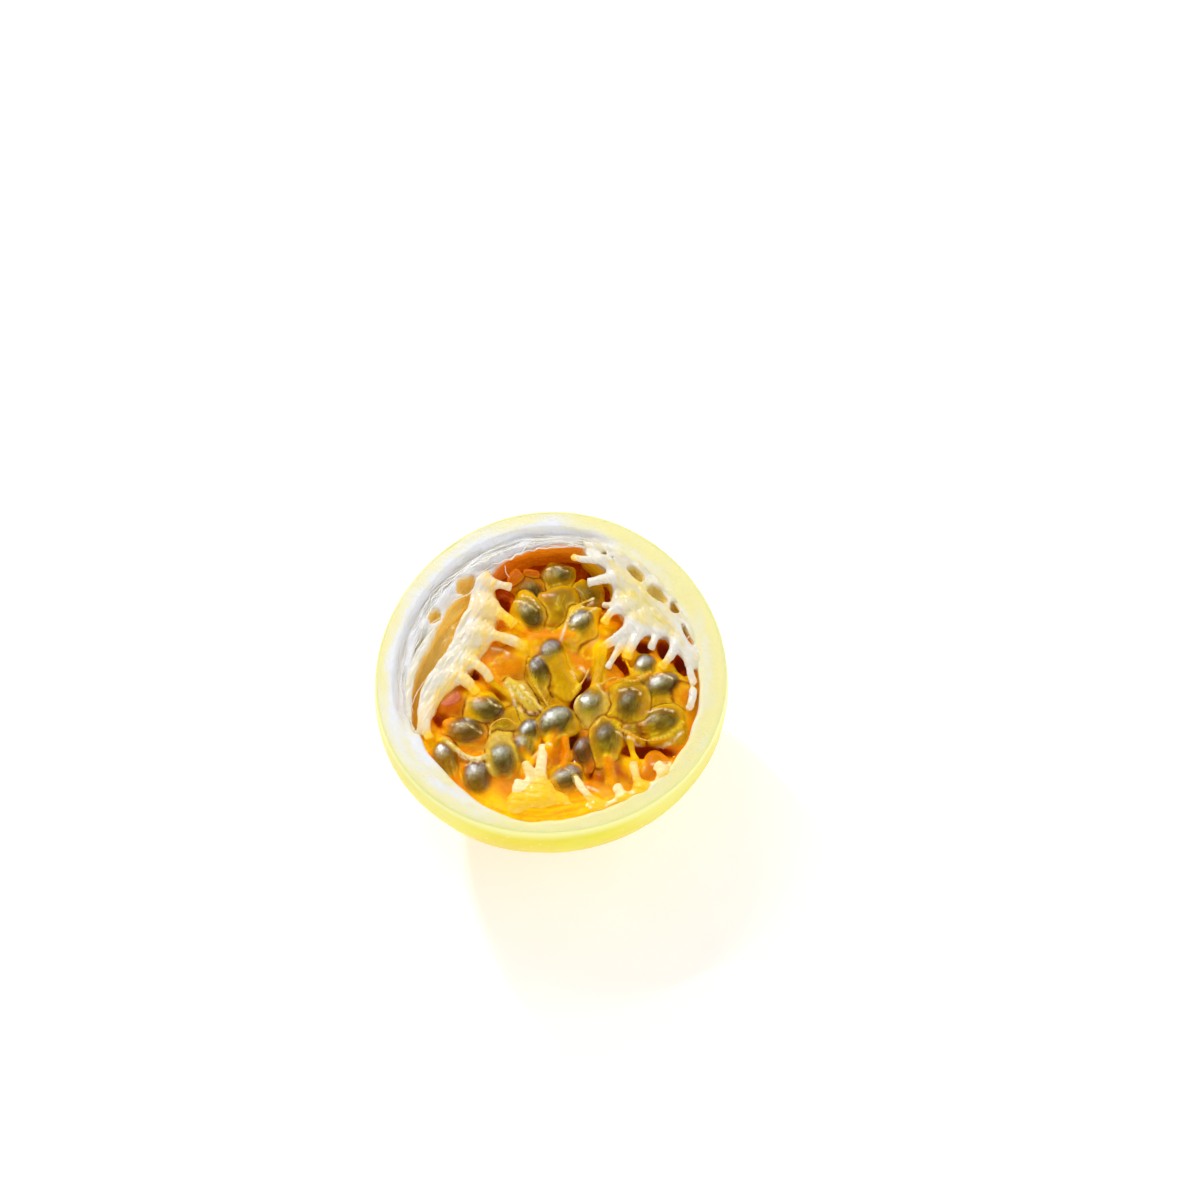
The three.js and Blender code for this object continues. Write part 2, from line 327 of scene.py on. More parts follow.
def push_along_normals(piece: Piece, amount: Array) -> None:
    """Moves each vertex along its normal by an amount in millimetres.

    Args:
        piece: the piece.
        amount: one number a vertex.
    """
    moved = of_vertices(piece, "co") + of_vertices(piece, "normal") * (amount[:, None] * MM)
    piece.data.vertices.foreach_set("co", moved.ravel())
    piece.data.update()


def paint(piece: Piece, **masks: Array) -> None:
    """Stores each mask, one number a vertex, as an attribute that materials read.

    Args:
        piece: the piece.
        masks: the masks by name.
    """
    for name, mask in masks.items():
        layer = piece.data.attributes.new(name, "FLOAT", "POINT")
        layer.data.foreach_set("value", np.asarray(mask, dtype=np.float32))


def rough_noise(points: Array, scale: float, octaves: int = 3, offset: float = 0.0) -> Array:
    """Fractal noise from about -1 to 1.

    Args:
        points: where it is read, in millimetres.
        scale: the size of its coarsest lumps.
        octaves: how many finer layers it has.
        offset: moves the pattern, so that two of them differ.

    Returns:
        One number a point.
    """
    shifted = (np.asarray(points) + offset) / scale
    return np.array([noise.fractal(Vector(p), 1.0, 2.0, octaves) for p in shifted])


class Ripple:
    """Smooth unevenness over a plane, from waves of many directions.

    Args:
        seed: chooses the waves.
        length: their middle wavelength.
        size: about how far the sum reaches.
        count: how many waves there are.
    """

    def __init__(self, seed: int, length: float, size: float, count: int = 9) -> None:
        """Draws the waves."""
        chance = np.random.default_rng(seed)
        turn = chance.uniform(0.0, 2.0 * math.pi, count)
        pace = 2.0 * math.pi / (length * chance.uniform(0.6, 1.6, count))
        start = chance.uniform(0.0, 6.3, count)
        self.waves = list(zip(pace * np.cos(turn), pace * np.sin(turn), start))
        self.size = size * math.sqrt(2.0 / count) * 0.8

    def at(self, x: Array, y: Array) -> Array:
        """The unevenness at a place."""
        return self.size * sum(np.sin(x * a + y * b + c) for a, b, c in self.waves)


def angle_of(points: Array) -> Array:
    """The direction of each point round the fruit, in radians."""
    return np.arctan2(points[:, 1], points[:, 0])


def nearest_spot(points: Array, spots: Array) -> Array:
    """Distance of each point, seen from above, from the nearest of some spots.

    Args:
        points: the points.
        spots: x and y of each spot.

    Returns:
        One distance a point.
    """
    near = np.full(len(points), FAR)
    for x, y in spots:
        near = np.minimum(near, np.hypot(points[:, 0] - x, points[:, 1] - y))
    return near


def slit_gold(points: Array) -> Array:
    """1 along the golden side of the slit behind the left placenta, fading across the slit."""
    right_edge = smooth_curve(STRIP_SLIT[:9])
    return smoothstep(2.3, 0.5, nearest_spot(points, right_edge))


# ---- Modelling clay ----------------------------


def outline_distance(corners: Outline, x: Array, y: Array) -> Array:
    """Distance to a closed outline, negative inside it.

    Args:
        corners: its corners in order, which it rounds over.
        x: x of each place, any shape.
        y: y of each place, the same shape.

    Returns:
        The distance of each place.
    """
    outline = smooth_curve(corners, 6)
    nearest = np.full(x.shape, FAR**2)
    inside = np.zeros(x.shape, dtype=bool)
    for (ax, ay), (bx, by) in zip(outline, np.roll(outline, -1, axis=0)):
        ex, ey = bx - ax, by - ay
        along = np.clip(((x - ax) * ex + (y - ay) * ey) / (ex * ex + ey * ey + 1e-12), 0.0, 1.0)
        nearest = np.minimum(nearest, (x - ax - along * ex) ** 2 + (y - ay - along * ey) ** 2)
        crosses = (ay > y) != (by > y)
        with np.errstate(divide="ignore", invalid="ignore"):
            inside ^= crosses & (x < ex * (y - ay) / ey + ax)
    return np.sqrt(nearest) * np.where(inside, -1.0, 1.0)


def ellipsoid_distance(x: Array, y: Array, z: Array, centre: Sequence[float], half: Sequence[float],
                       heading: float, tilt: float = 0.0) -> Array:
    """Distance to an ellipsoid, negative inside it.

    Args:
        x: x of each place.
        y: y of each place.
        z: z of each place.
        centre: its middle.
        half: its half sizes along, across and up.
        heading: the direction of its long axis, in degrees.
        tilt: how far its front end is lifted, in degrees.

    Returns:
        The distance of each place.
    """
    lift = math.radians(tilt)
    flat, across = turned(x - centre[0], y - centre[1], heading)
    dz = z - centre[2]
    along = flat * math.cos(lift) + dz * math.sin(lift)
    up = dz * math.cos(lift) - flat * math.sin(lift)
    near = np.sqrt((along / half[0]) ** 2 + (across / half[1]) ** 2 + (up / half[2]) ** 2)
    steep = np.sqrt((along / half[0] ** 2) ** 2 + (across / half[1] ** 2) ** 2
                    + (up / half[2] ** 2) ** 2)
    return near * (near - 1.0) / np.maximum(steep, 1e-6)


def smooth_curve(points: Outline, steps: int = 8) -> Array:
    """A Catmull-Rom curve through points, as an array with steps rows for each span.

    Args:
        points: the points.
        steps: how many rows a span has.

    Returns:
        The curve's points.
    """
    p = np.asarray(points, dtype=float)
    ends = np.vstack([2 * p[0] - p[1], p, 2 * p[-1] - p[-2]])
    t = np.linspace(0.0, 1.0, steps, endpoint=False)[:, None]
    rows = []
    for a, b, c, d in zip(ends, ends[1:], ends[2:], ends[3:]):
        rows.append(0.5 * (2 * b + (c - a) * t + (2 * a - 5 * b + 4 * c - d) * t**2
                           + (3 * b - a - 3 * c + d) * t**3))
    return np.vstack(rows + [p[-1:]])


class Clay:
    """A block of distance values that forms are joined to and carved from, then skinned.

    Args:
        low: its lowest corner.
        high: its highest corner.
        step: the size of its cells.
    """

    def __init__(self, low: Sequence[float], high: Sequence[float], step: float) -> None:
        """Starts with an empty block."""
        self.low = np.array(low, dtype=float)
        self.step = step
        counts = [int(math.ceil((b - a) / step)) + 1 for a, b in zip(low, high)]
        self.axes = [a + step * np.arange(n) for a, n in zip(low, counts)]
        self.field = np.full(counts, FAR, dtype=np.float32)

    def grid(self, cut: Sequence[slice] = (slice(None),) * 3) -> tuple[Array, Array, Array]:
        """x, y and z of the cells in a cut, each shaped to spread over it."""
        x, y, z = (axis[part] for axis, part in zip(self.axes, cut))
        return x[:, None, None], y[None, :, None], z[None, None, :]

    def _window(self, low: Array, high: Array) -> tuple[slice, ...]:
        """The cut that holds the cells in a box.

        Args:
            low: the box's lowest corner.
            high: its highest corner.

        Returns:
            A slice for each axis.
        """
        cut = []
        for axis, a, b in zip(self.axes, low, high):
            first = int(np.clip(np.searchsorted(axis, a) - 1, 0, len(axis) - 1))
            end = int(np.clip(np.searchsorted(axis, b) + 1, first + 1, len(axis)))
            cut.append(slice(first, end))
        return tuple(cut)

    def _merge(self, cut: tuple[slice, ...], distance: Array, blend: float, carve: bool) -> None:
        """Joins a form to the block, or carves it out."""
        join, form = (smooth_max, -distance) if carve else (smooth_min, distance)
        self.field[cut] = join(self.field[cut], form, blend)

    def stalk(self, path: Array, radii: Array, blend: float, blunt: bool = False) -> None:
        """Joins a round stalk along a path.

        Args:
            path: its middle line.
            radii: its radius at each point of the path.
            blend: how widely its foot flares into what it meets.
            blunt: True to cut its far end off square.
        """
        reach = float(np.max(radii)) + blend + self.step * 2
        cut = self._window(path.min(axis=0) - reach, path.max(axis=0) + reach)
        place = self.grid(cut)
        distance = np.full(self.field[cut].shape, FAR)
        for a, b, ra, rb in zip(path, path[1:], radii, radii[1:]):
            e = b - a
            along = sum((p - u) * v for p, u, v in zip(place, a, e)) / float(e @ e)
            along = np.clip(along, 0.0, 1.0)
            away = np.sqrt(sum((p - u - along * v) ** 2 for p, u, v in zip(place, a, e)))
            distance = np.minimum(distance, away - (ra + along * (rb - ra)))
        if blunt:
            out = path[-1] - path[-2]
            out = out / np.linalg.norm(out)
            past = sum((p - u) * v for p, u, v in zip(place, path[-1], out))
            distance = smooth_max(distance, past - 0.25 * float(radii[-1]), 0.5)
        self._merge(cut, distance, blend, False)

    def lump(self, centre: Sequence[float], half: Sequence[float], heading: float, blend: float,
             carve: bool = False, warp: tuple[Array, Array] | None = None) -> None:
        """Joins an ellipsoid.

        Args:
            centre: its middle.
            half: its half sizes along, across and up.
            heading: the direction of its long axis, in degrees.
            blend: how softly it meets what it touches.
            carve: True to cut a hollow instead.
            warp: shifts of x and y over the whole block that make it uneven.
        """
        middle = np.array(centre)
        reach = max(half) + blend + self.step * 2 + (1.0 if warp else 0.0)
        cut = self._window(middle - reach, middle + reach)
        x, y, z = self.grid(cut)
        if warp:
            x, y = x + warp[0][cut[:2]], y + warp[1][cut[:2]]
        self._merge(cut, ellipsoid_distance(x, y, z, centre, half, heading), blend, carve)

    def height(self, x: float, y: float) -> float:
        """Height of the topmost surface over a place.

        Args:
            x: the place's x.
            y: the place's y.

        Returns:
            The height, or the block's bottom where there is none.
        """
        i, j = (int(round((place - axis[0]) / self.step)) for place, axis in zip((x, y), self.axes))
        column = self.field[i, j]
        below = np.nonzero(column < 0)[0]
        if not len(below) or below[-1] == len(column) - 1:
            return float(self.axes[2][0])
        k = below[-1]
        share = column[k] / (column[k] - column[k + 1])
        return float(self.axes[2][k] + self.step * share)

    def skin(self, level: float = 0.0) -> tuple[Array, Array]:
        """The surface where the field equals a level.

        Args:
            level: 0 for the form itself, less for a surface inside it.

        Returns:
            Its points and its quads, which face outwards.
        """
        field = self.field - level
        field[[0, -1]] = field[:, [0, -1]] = field[:, :, [0, -1]] = FAR
        inside = field < 0
        size = np.array(field.shape) - 1
        corners = list(product((0, 1), repeat=3))
        total = sum(inside[i:i + size[0], j:j + size[1], k:k + size[2]].astype(np.int8)
                    for i, j, k in corners)
        active = (total > 0) & (total < 8)
        cells = np.argwhere(active)
        number = np.full(active.shape, -1, dtype=np.int64)
        number[active] = np.arange(len(cells))
        values = {c: field[tuple((cells + c).T)] for c in corners}
        place, crossings = np.zeros(cells.shape), np.zeros(len(cells))
        for a, b in product(corners, repeat=2):
            if sum(b) - sum(a) != 1 or sum(abs(p - q) for p, q in zip(a, b)) != 1:
                continue
            hit = (values[a] < 0) != (values[b] < 0)
            t = values[a][hit] / (values[a][hit] - values[b][hit])
            place[hit] += np.array(a) + t[:, None] * (np.array(b) - np.array(a))
            crossings[hit] += 1
        points = self.low + self.step * (cells + place / crossings[:, None])
        return points, self._quads(inside, number)

    @staticmethod
    def _quads(inside: Array, number: Array) -> Array:
        """One quad round each grid edge that passes through the surface.

        Args:
            inside: which cells' corners are inside.
            number: the number of each cell's point.

        Returns:
            The quads.
        """
        quads = []
        for axis in range(3):
            u, v = np.eye(3, dtype=int)[(axis + 1) % 3], np.eye(3, dtype=int)[(axis + 2) % 3]
            start = np.take(inside, range(inside.shape[axis] - 1), axis=axis)
            end = np.take(inside, range(1, inside.shape[axis]), axis=axis)
            edge = np.argwhere(start != end)
            outward = start[tuple(edge.T)]
            ring = [number[tuple((edge - back).T)] for back in (u + v, v, 0 * u, u)]
            quad = np.stack(ring, axis=1)
            quads += [quad[outward], quad[~outward][:, ::-1]]
        return np.vstack(quads)


def largest_surface(points: Array, quads: Array) -> tuple[Array, Array]:
    """The largest connected surface of a mesh, without the small ones beside and inside it.

    Args:
        points: the mesh's points.
        quads: its quads.

    Returns:
        The points and the quads of that surface.
    """
    label, before = np.arange(len(points)), np.full(len(points), -1)
    while (label != before).any():
        before = label
        label = before.copy()
        lowest = label[quads].min(axis=1)
        for corner in quads.T:
            np.minimum.at(label, corner, lowest)
        label = label[label]
    keep = label == np.bincount(label).argmax()
    number = np.cumsum(keep) - 1
    return points[keep], number[quads[keep[quads[:, 0]]]]


# ---- Node trees --------------------------------


def math_operator(operation: str, swapped: bool = False) -> Callable[["Value", Any], "Value"]:
    """A method for a written operator, which adds one Math node.

    Args:
        operation: the node's operation.
        swapped: True if the other value comes first.

    Returns:
        The method.
    """
    def apply(self: "Value", other: Any) -> "Value":
        """The result with another value or a number."""
        return self.graph.maths(operation, *((other, self) if swapped else (self, other)))
    return apply


class Value:
    """A number in a tree that takes part in written sums.

    Args:
        graph: the tree it belongs to.
        source: the output it comes from, or the node whose first output it is.
    """

    def __init__(self, graph: "Graph", source: Any) -> None:
        """Keeps where the number comes from."""
        self.graph = graph
        self.source = source

    __add__ = __radd__ = math_operator("ADD")
    __sub__, __rsub__ = math_operator("SUBTRACT"), math_operator("SUBTRACT", True)
    __mul__ = __rmul__ = math_operator("MULTIPLY")
    __truediv__ = math_operator("DIVIDE")

    def clamped(self) -> "Value":
        """This, held between 0 and 1."""
        return self.graph.maths("ADD", self, 0.0, clamp=True)

    def eased(self, low: float, high: float) -> "Value":
        """0 below low, 1 above high and smooth between."""
        return Value(self.graph, self.graph.node("ShaderNodeMapRange", {
            "Value": self, "From Min": low, "From Max": high}, interpolation_type="SMOOTHSTEP"))


class Graph:
    """Builds a node tree from written expressions.

    Args:
        tree: the empty tree that is filled.
    """

    def __init__(self, tree: Tree) -> None:
        """Clears the tree."""
        self.tree = tree
        tree.nodes.clear()

    def node(self, kind: str, inputs: dict[Any, Any] | None = None, **settings: Any) -> Node:
        """Adds one node.

        Args:
            kind: the node's type.
            inputs: values or links for its sockets, by name or number.
            settings: its properties, set before its inputs.

        Returns:
            The node.
        """
        node = self.tree.nodes.new(kind)
        for name, value in settings.items():
            setattr(node, name, value)
        for key, value in (inputs or {}).items():
            self.feed(node.inputs[key], value)
        return node

    def feed(self, socket: bpy.types.NodeSocket, value: Any) -> None:
        """Sets one input, or links it to a socket, a value or a node's first output.

        Args:
            socket: the input.
            value: what it gets.
        """
        value = value.source if isinstance(value, Value) else value
        value = value.outputs[0] if isinstance(value, Node) else value
        if isinstance(value, bpy.types.NodeSocket):
            self.tree.links.new(value, socket)
        elif socket.type == "RGBA":
            socket.default_value = (*value, 1.0)
        else:
            socket.default_value = value

    def maths(self, operation: str, a: Any, b: Any, clamp: bool = False) -> Value:
        """One Math node on two values."""
        return Value(self, self.node(
            "ShaderNodeMath", {0: a, 1: b}, operation=operation, use_clamp=clamp))

    def mask(self, name: str) -> Value:
        """A painted mask of the mesh."""
        return Value(self, self.node("ShaderNodeAttribute", attribute_name=name).outputs["Fac"])

    def stored(self, name: str, kind: str) -> Node:
        """A named attribute of the mesh, in a Geometry Nodes tree."""
        return self.node("GeometryNodeInputNamedAttribute", {"Name": name}, data_type=kind)

    def layered(self, base: Any, *layers: tuple[Any, Any]) -> Any:
        """A colour with others laid over it in turn, each as strongly as its factor says.

        Args:
            base: the colour underneath.
            layers: a factor and a colour each.

        Returns:
            The colour on top.
        """
        for factor, colour in layers:
            mix = self.node("ShaderNodeMix", {0: factor, 6: base, 7: colour}, data_type="RGBA")
            base = mix.outputs[2]
        return base

    def position(self) -> Node:
        """Object coordinates, in millimetres."""
        place = self.node("ShaderNodeTexCoord").outputs["Object"]
        return self.node("ShaderNodeMapping", {"Vector": place, "Scale": (1.0 / MM,) * 3})

    def noise(self, size: float, detail: float = 3.0, roughness: float = 0.55,
              place: Node | None = None) -> Value:
        """Cloudy noise whose lumps are about size millimetres across.

        Args:
            size: the lumps' size.
            detail: how many finer layers it has.
            roughness: how strong those are.
            place: where it is read, if not in place.

        Returns:
            The noise, from 0 to 1.
        """
        return Value(self, self.node("ShaderNodeTexNoise", {
            "Vector": self.position() if place is None else place, "Scale": 1.0 / size,
            "Detail": detail, "Roughness": roughness}))

    def cells(self, feature: str, size: float) -> Value:
        """Distance from the nearest of points scattered about size millimetres apart."""
        return Value(self, self.node("ShaderNodeTexVoronoi", {
            "Vector": self.position(), "Scale": 1.0 / size}, feature=feature))

    def bump(self, height: Any, rise: float) -> Node:
        """A bump that is rise millimetres high."""
        return self.node("ShaderNodeBump", {
            "Height": height, "Distance": rise * MM, "Strength": 1.0})

    def blend(self, factor: Any, under: Any, over: Any) -> Node:
        """Two shaders mixed by a factor."""
        return self.node("ShaderNodeMixShader", {0: factor, 1: under, 2: over})

    def dress(self, **looks: Any) -> None:
        """Feeds the Principled node's sockets, with _ for a space."""
        for name, value in looks.items():
            self.feed(self.tree.nodes["Surface"].inputs[name.replace("_", " ")], value)


def shader(name: str, **looks: Any) -> tuple[Material, Graph]:
    """A material with one Principled shader.

    Args:
        name: the material's name.
        looks: constant sockets, with _ for a space.

    Returns:
        The material and its graph, where the nodes "Surface" and "Output" are.
    """
    material = bpy.data.materials.new(name)
    material.use_nodes = True
    graph = Graph(material.node_tree)
    surface = graph.node("ShaderNodeBsdfPrincipled", name="Surface")
    graph.node("ShaderNodeOutputMaterial", {"Surface": surface}, name="Output")
    graph.dress(**looks)
    return material, graph


# ---- Finishes ----------------------------------


@dataclass(frozen=True)
class SkinFinish:
    """Waxy golden skin with fine pale dots, turning lemon and pale towards the cut as painted
    bounce light from the pale floor.
    """

    golden: Colour = (0.80, 0.47, 0.003)
    amber: Colour = (0.78, 0.36, 0.002)
    lemon: Colour = (0.82, 0.715, 0.03)
    pale: Colour = (0.90, 0.87, 0.36)
    dot: Colour = (0.92, 0.82, 0.34)
    freckle: Colour = (0.50, 0.24, 0.01)

    def material(self) -> Material:
        """The skin's material.

        Returns:
            The material.
        """
        material, graph = shader(
            "peel_skin", Roughness=0.38, Coat_Weight=0.25, Coat_Roughness=0.16, Coat_IOR=1.3,
            IOR=1.15, Subsurface_Weight=0.12, Subsurface_Scale=1.0 * MM,
            Subsurface_Radius=(1.0, 0.6, 0.1))
        cut = graph.mask("cut")
        clouds = graph.noise(16.0, 4.0).eased(0.35, 0.7)
        patches = graph.noise(7.0, 5.0, 0.6).eased(0.45, 0.75)
        dots = self._specks(graph, 2.1, graph.noise(3.3, 1.0) * 0.26 + 0.02)
        freckles = self._specks(graph, 6.5, graph.noise(9.0, 1.0).eased(0.5, 0.9) * 0.05 + 0.001)
        # lemon towards the cut and pale over the lip are painted bounce light from the pale floor
        base = graph.layered(
            self.golden, (patches * 0.55, self.amber),
            (cut * 1.15 + (clouds - 0.4) * 0.5 + (patches - 0.3) * 0.15 - 0.05, self.lemon),
            (dots * 0.75, self.dot), (freckles * (1.0 - cut) * 0.5, self.freckle),
            (graph.mask("lip"), self.pale))
        height = (graph.noise(2.6, 4.0) * 0.5 + dots * 0.35 + graph.noise(0.5, 2.0) * 0.12
                  + graph.noise(9.0, 2.0) * 2.0)
        graph.dress(Base_Color=base, Normal=graph.bump(height, 0.12))
        return material

    @staticmethod
    def _specks(graph: Graph, spacing: float, size: Value) -> Value:
        """1 on small round specks about so many millimetres apart, 0 between them."""
        return 1.0 - (graph.cells("F1", spacing) / size).eased(0.6, 1.2)


@dataclass(frozen=True)
class PithFinish:
    """Moist cream and white pith, ochre down in its hollows and orange where juice has run.

    The glow colours are painted light, standing in for the light that comes through the thin wall
    behind a hollow.
    """

    white: Colour = (0.88, 0.89, 0.92)
    cream: Colour = (0.91, 0.83, 0.40)
    lemon: Colour = (0.95, 0.88, 0.40)
    ochre: Colour = (0.98, 0.76, 0.24)
    gold: Colour = (0.92, 0.62, 0.04)
    amber: Colour = (0.95, 0.33, 0.004)
    stain: Colour = (0.95, 0.50, 0.02)
    recess_shade: Colour = (0.76, 0.76, 0.84)
    through_glow: Colour = (0.11, 0.07, 0.016)
    through_glow_amber: Colour = (0.15, 0.03, 0.0)

    def material(self) -> Material:
        """The pith's material.

        Returns:
            The material.
        """
        material, graph = shader(
            "pith", Roughness=0.5, Coat_Weight=0.12, Coat_Roughness=0.25, IOR=1.3,
            Emission_Strength=1.0, Subsurface_Weight=0.2, Subsurface_Scale=1.0 * MM,
            Subsurface_Radius=(1.0, 0.8, 0.35))
        mask = graph.mask
        mottle, hollow, amber = mask("mottle"), mask("hollow"), mask("amber")
        blotch = graph.noise(3.0, 4.0)
        cloud = graph.noise(6.5, 4.0, 0.6) - 0.5
        base = graph.layered(
            self.white,
            (mask("cream") + (blotch - 0.5) * 0.5 + cloud * 0.6 + mottle * 0.5, self.cream),
            (mask("lemon") + (blotch - 0.5) * 0.3 + cloud * 0.3 + mottle * 0.35, self.lemon),
            # the bluish grey over the torn band is painted shade in the sunken stretch of the cut
            # face
            (mask("torn") * (0.45 + mottle * 0.8), self.recess_shade),
            (hollow + (blotch - 0.5) * 0.15, self.ochre), (mask("gold"), self.gold),
            (amber, self.amber), (mask("stain") * (0.6 + blotch * 0.8), self.stain))
        height = graph.noise(0.55, 4.0, 0.65) * 0.8 + graph.noise(2.2, 4.0) * 0.9
        # painted light: emission glow in the hollows and on the amber far wall
        glow = graph.layered(BLACK, (hollow, self.through_glow), (amber, self.through_glow_amber))
        graph.dress(Base_Color=base, Normal=graph.bump(height, 0.2), Emission_Color=glow)
        return material


@dataclass(frozen=True)
class FleshFinish:
    """Creamy placenta flesh, white along its edges and yellow where juice clings to its stalks,
    with painted light and glow.
    """

    cream: Colour = (0.84, 0.73, 0.36)
    white: Colour = (0.83, 0.79, 0.70)
    butter: Colour = (0.90, 0.69, 0.10)
    yellow: Colour = (0.97, 0.60, 0.01)
    ochre: Colour = (1.0, 0.87, 0.42)
    deep: Colour = (0.92, 0.62, 0.04)
    # lit and the glow colours below are painted light
    lit: Colour = (1.0, 0.87, 0.44)
    glow: Colour = (0.11, 0.05, 0.0)
    lit_glow: Colour = (0.15, 0.11, 0.035)
    through_glow: Colour = (0.12, 0.064, 0.002)

    def material(self) -> Material:
        """The placentas' material.

        Returns:
            The material.
        """
        material, graph = shader(
            "placenta", Roughness=0.34, Coat_Weight=0.4, Coat_Roughness=0.12, IOR=1.4,
            Emission_Strength=1.0, Subsurface_Weight=0.12, Subsurface_Scale=0.9 * MM,
            Subsurface_Radius=(1.0, 0.75, 0.3))
        mask = graph.mask
        grain, seep, lit = mask("grain"), mask("seep"), mask("lit")
        blotch = graph.noise(1.6, 4.0)
        yellow = mask("yellow") * (0.7 + blotch)
        ripe = (graph.noise(2.4, 3.0) + grain * 0.15).eased(0.42, 0.66) * 0.75
        # the lit layer is painted light on the floor's pale stalks; the deep layer is the gold of
        # the slit and hollows
        base = graph.layered(
            self.cream, (ripe, self.butter),
            (mask("white") + (blotch - 0.5) * 0.5 - grain * 0.25, self.white),
            (yellow, self.yellow), (mask("hollow"), self.ochre), (seep, self.deep), (lit, self.lit))
        # every glow here is painted light: emission standing in for light through the thin flesh
        glow = graph.layered(BLACK, (yellow, self.glow), (seep, self.through_glow), (lit, self.lit_glow))
        height = graph.noise(0.5, 3.0, 0.6) * 0.5 + graph.noise(1.7, 3.0) * 0.7 + grain * 0.9
        graph.dress(Base_Color=base, Normal=graph.bump(height, 0.16), Emission_Color=glow)
        return material


@dataclass(frozen=True)
class JellyFinish:
    """Wet jelly of sacs and juice, clear enough over a seed for it to show."""

    gold: Colour = (0.84, 0.46, 0.0)
    olive: Colour = (0.34, 0.17, 0.0)
    orange: Colour = (0.90, 0.29, 0.0)
    pale: Colour = (0.80, 0.58, 0.09)
    # rim is painted light along the sacs' glassy edges
    rim: Colour = (1.0, 0.72, 0.02)
    thin: Colour = (1.0, 0.58, 0.0)
    # red and dark are partly the thick juice's colour and partly painted shade in gaps and creases
    red: Colour = (0.46, 0.04, 0.0)
    dark: Colour = (0.38, 0.035, 0.0)
    # painted shade along the creases between sacs
    seam: Colour = (0.17, 0.05, 0.0)
    # painted highlight along membrane edges over the sacs
    membrane: Colour = (1.0, 0.90, 0.60)
    # the glow colours are painted light
    glow: Colour = (0.08, 0.024, 0.0)
    thin_glow: Colour = (0.15, 0.07, 0.0)
    dark_glow: Colour = (0.02, 0.002, 0.0)
    film: Colour = (1.0, 0.93, 0.58)
    silver: Colour = (0.84, 0.92, 1.0)

    def material(self) -> Material:
        """The jelly's material: a film of gloss where it is clear, coloured jelly elsewhere.

        Returns:
            The material.
        """
        material, graph = shader(
            "juice_jelly", Roughness=0.08, IOR=1.25, Emission_Strength=1.0,
            Subsurface_Weight=0.12, Subsurface_Scale=0.5 * MM, Subsurface_Radius=(1.0, 0.4, 0.02))
        mask = graph.mask
        orange, red, dark = mask("orange"), mask("red"), mask("dark")
        way = graph.node("ShaderNodeCombineXYZ", {
            "X": mask("along") * 0.35, "Y": mask("across") * 1.7})
        fibres = graph.noise(1.0, 5.0, 0.6, way) - 0.5
        streak = graph.noise(1.8, 5.0, 0.6) - 0.5 + mask("grain") * 0.3 + fibres * 1.2
        cloud = graph.noise(5.0, 3.0) - 0.5
        veins = 1.0 - graph.maths("ABSOLUTE", graph.noise(2.2, 3.0) - 0.5, 0.0) * 14.0
        thin = mask("thin") * (0.9 + streak * 0.8)
        # pale highlight lines painted along membrane edges, where the clear film also gives way
        gleam_line = mask("membrane") * (0.35 + (graph.noise(1.1, 3.0) - 0.5) * 3.0)
        base = graph.layered(
            self.gold, (mask("olive") + streak * 0.7 + cloud * 0.4, self.olive),
            (mask("pale") * (1.0 + streak), self.pale),
            (orange + streak * 0.6 + cloud * 0.9, self.orange),
            (mask("rim") * (0.6 + streak * 3.0), self.rim), (veins.clamped() * 0.2, self.red),
            (red * (1.0 + streak), self.red), (dark * (1.0 + streak * 0.6), self.dark),
            (mask("seam") * (0.6 + streak * 2.0), self.seam), (thin, self.thin),
            (gleam_line, self.membrane))
        # painted light: emission in the warm jelly, the thin juice and the deep gaps
        glow = graph.layered(BLACK, ((orange - red) * (0.6 + streak), self.glow),
                             (thin, self.thin_glow), (dark, self.dark_glow))
        height = graph.noise(0.5, 2.0, 0.5) * 0.3 + graph.noise(1.3, 3.0) * 0.8 + fibres * 1.3
        normal = graph.bump(height, 0.075)
        graph.dress(Base_Color=base, Normal=normal, Emission_Color=glow)
        clear = graph.node("ShaderNodeBsdfTransparent", {"Color": self.film})
        haze = graph.node("ShaderNodeBsdfGlossy", {
            "Color": self.silver, "Roughness": 0.4, "Normal": normal})
        gloss = graph.node("ShaderNodeBsdfGlossy", {"Roughness": 0.1, "Normal": normal})
        sheen = graph.node("ShaderNodeFresnel", {"IOR": 1.28})
        # painted highlight: glossy silver haze only on the far, left side of each seed
        mist = (graph.noise(0.9, 3.0).eased(0.3, 0.7) * 0.6 + 0.4) * mask("mist") * 0.52
        film = graph.blend(sheen, graph.blend(mist, clear, haze), gloss)
        both = graph.blend(mask("clear") - gleam_line * 0.9, graph.tree.nodes["Surface"], film)
        graph.feed(graph.tree.nodes["Output"].inputs["Surface"], both)
        return material


@dataclass(frozen=True)
class CoreFinish:
    """The thick flesh deep in the pulp, round the seeds."""

    gold: Colour = (0.62, 0.36, 0.002)
    orange: Colour = (0.80, 0.22, 0.0)

    def material(self) -> Material:
        """The core's material.

        Returns:
            The material.
        """
        material, graph = shader("pulp_core", Roughness=0.3, IOR=1.36)
        streak = graph.noise(1.8, 4.0)
        graph.dress(Base_Color=graph.layered(self.gold, (streak.eased(0.4, 0.65), self.orange)),
                    Normal=graph.bump(streak, 0.2))
        return material


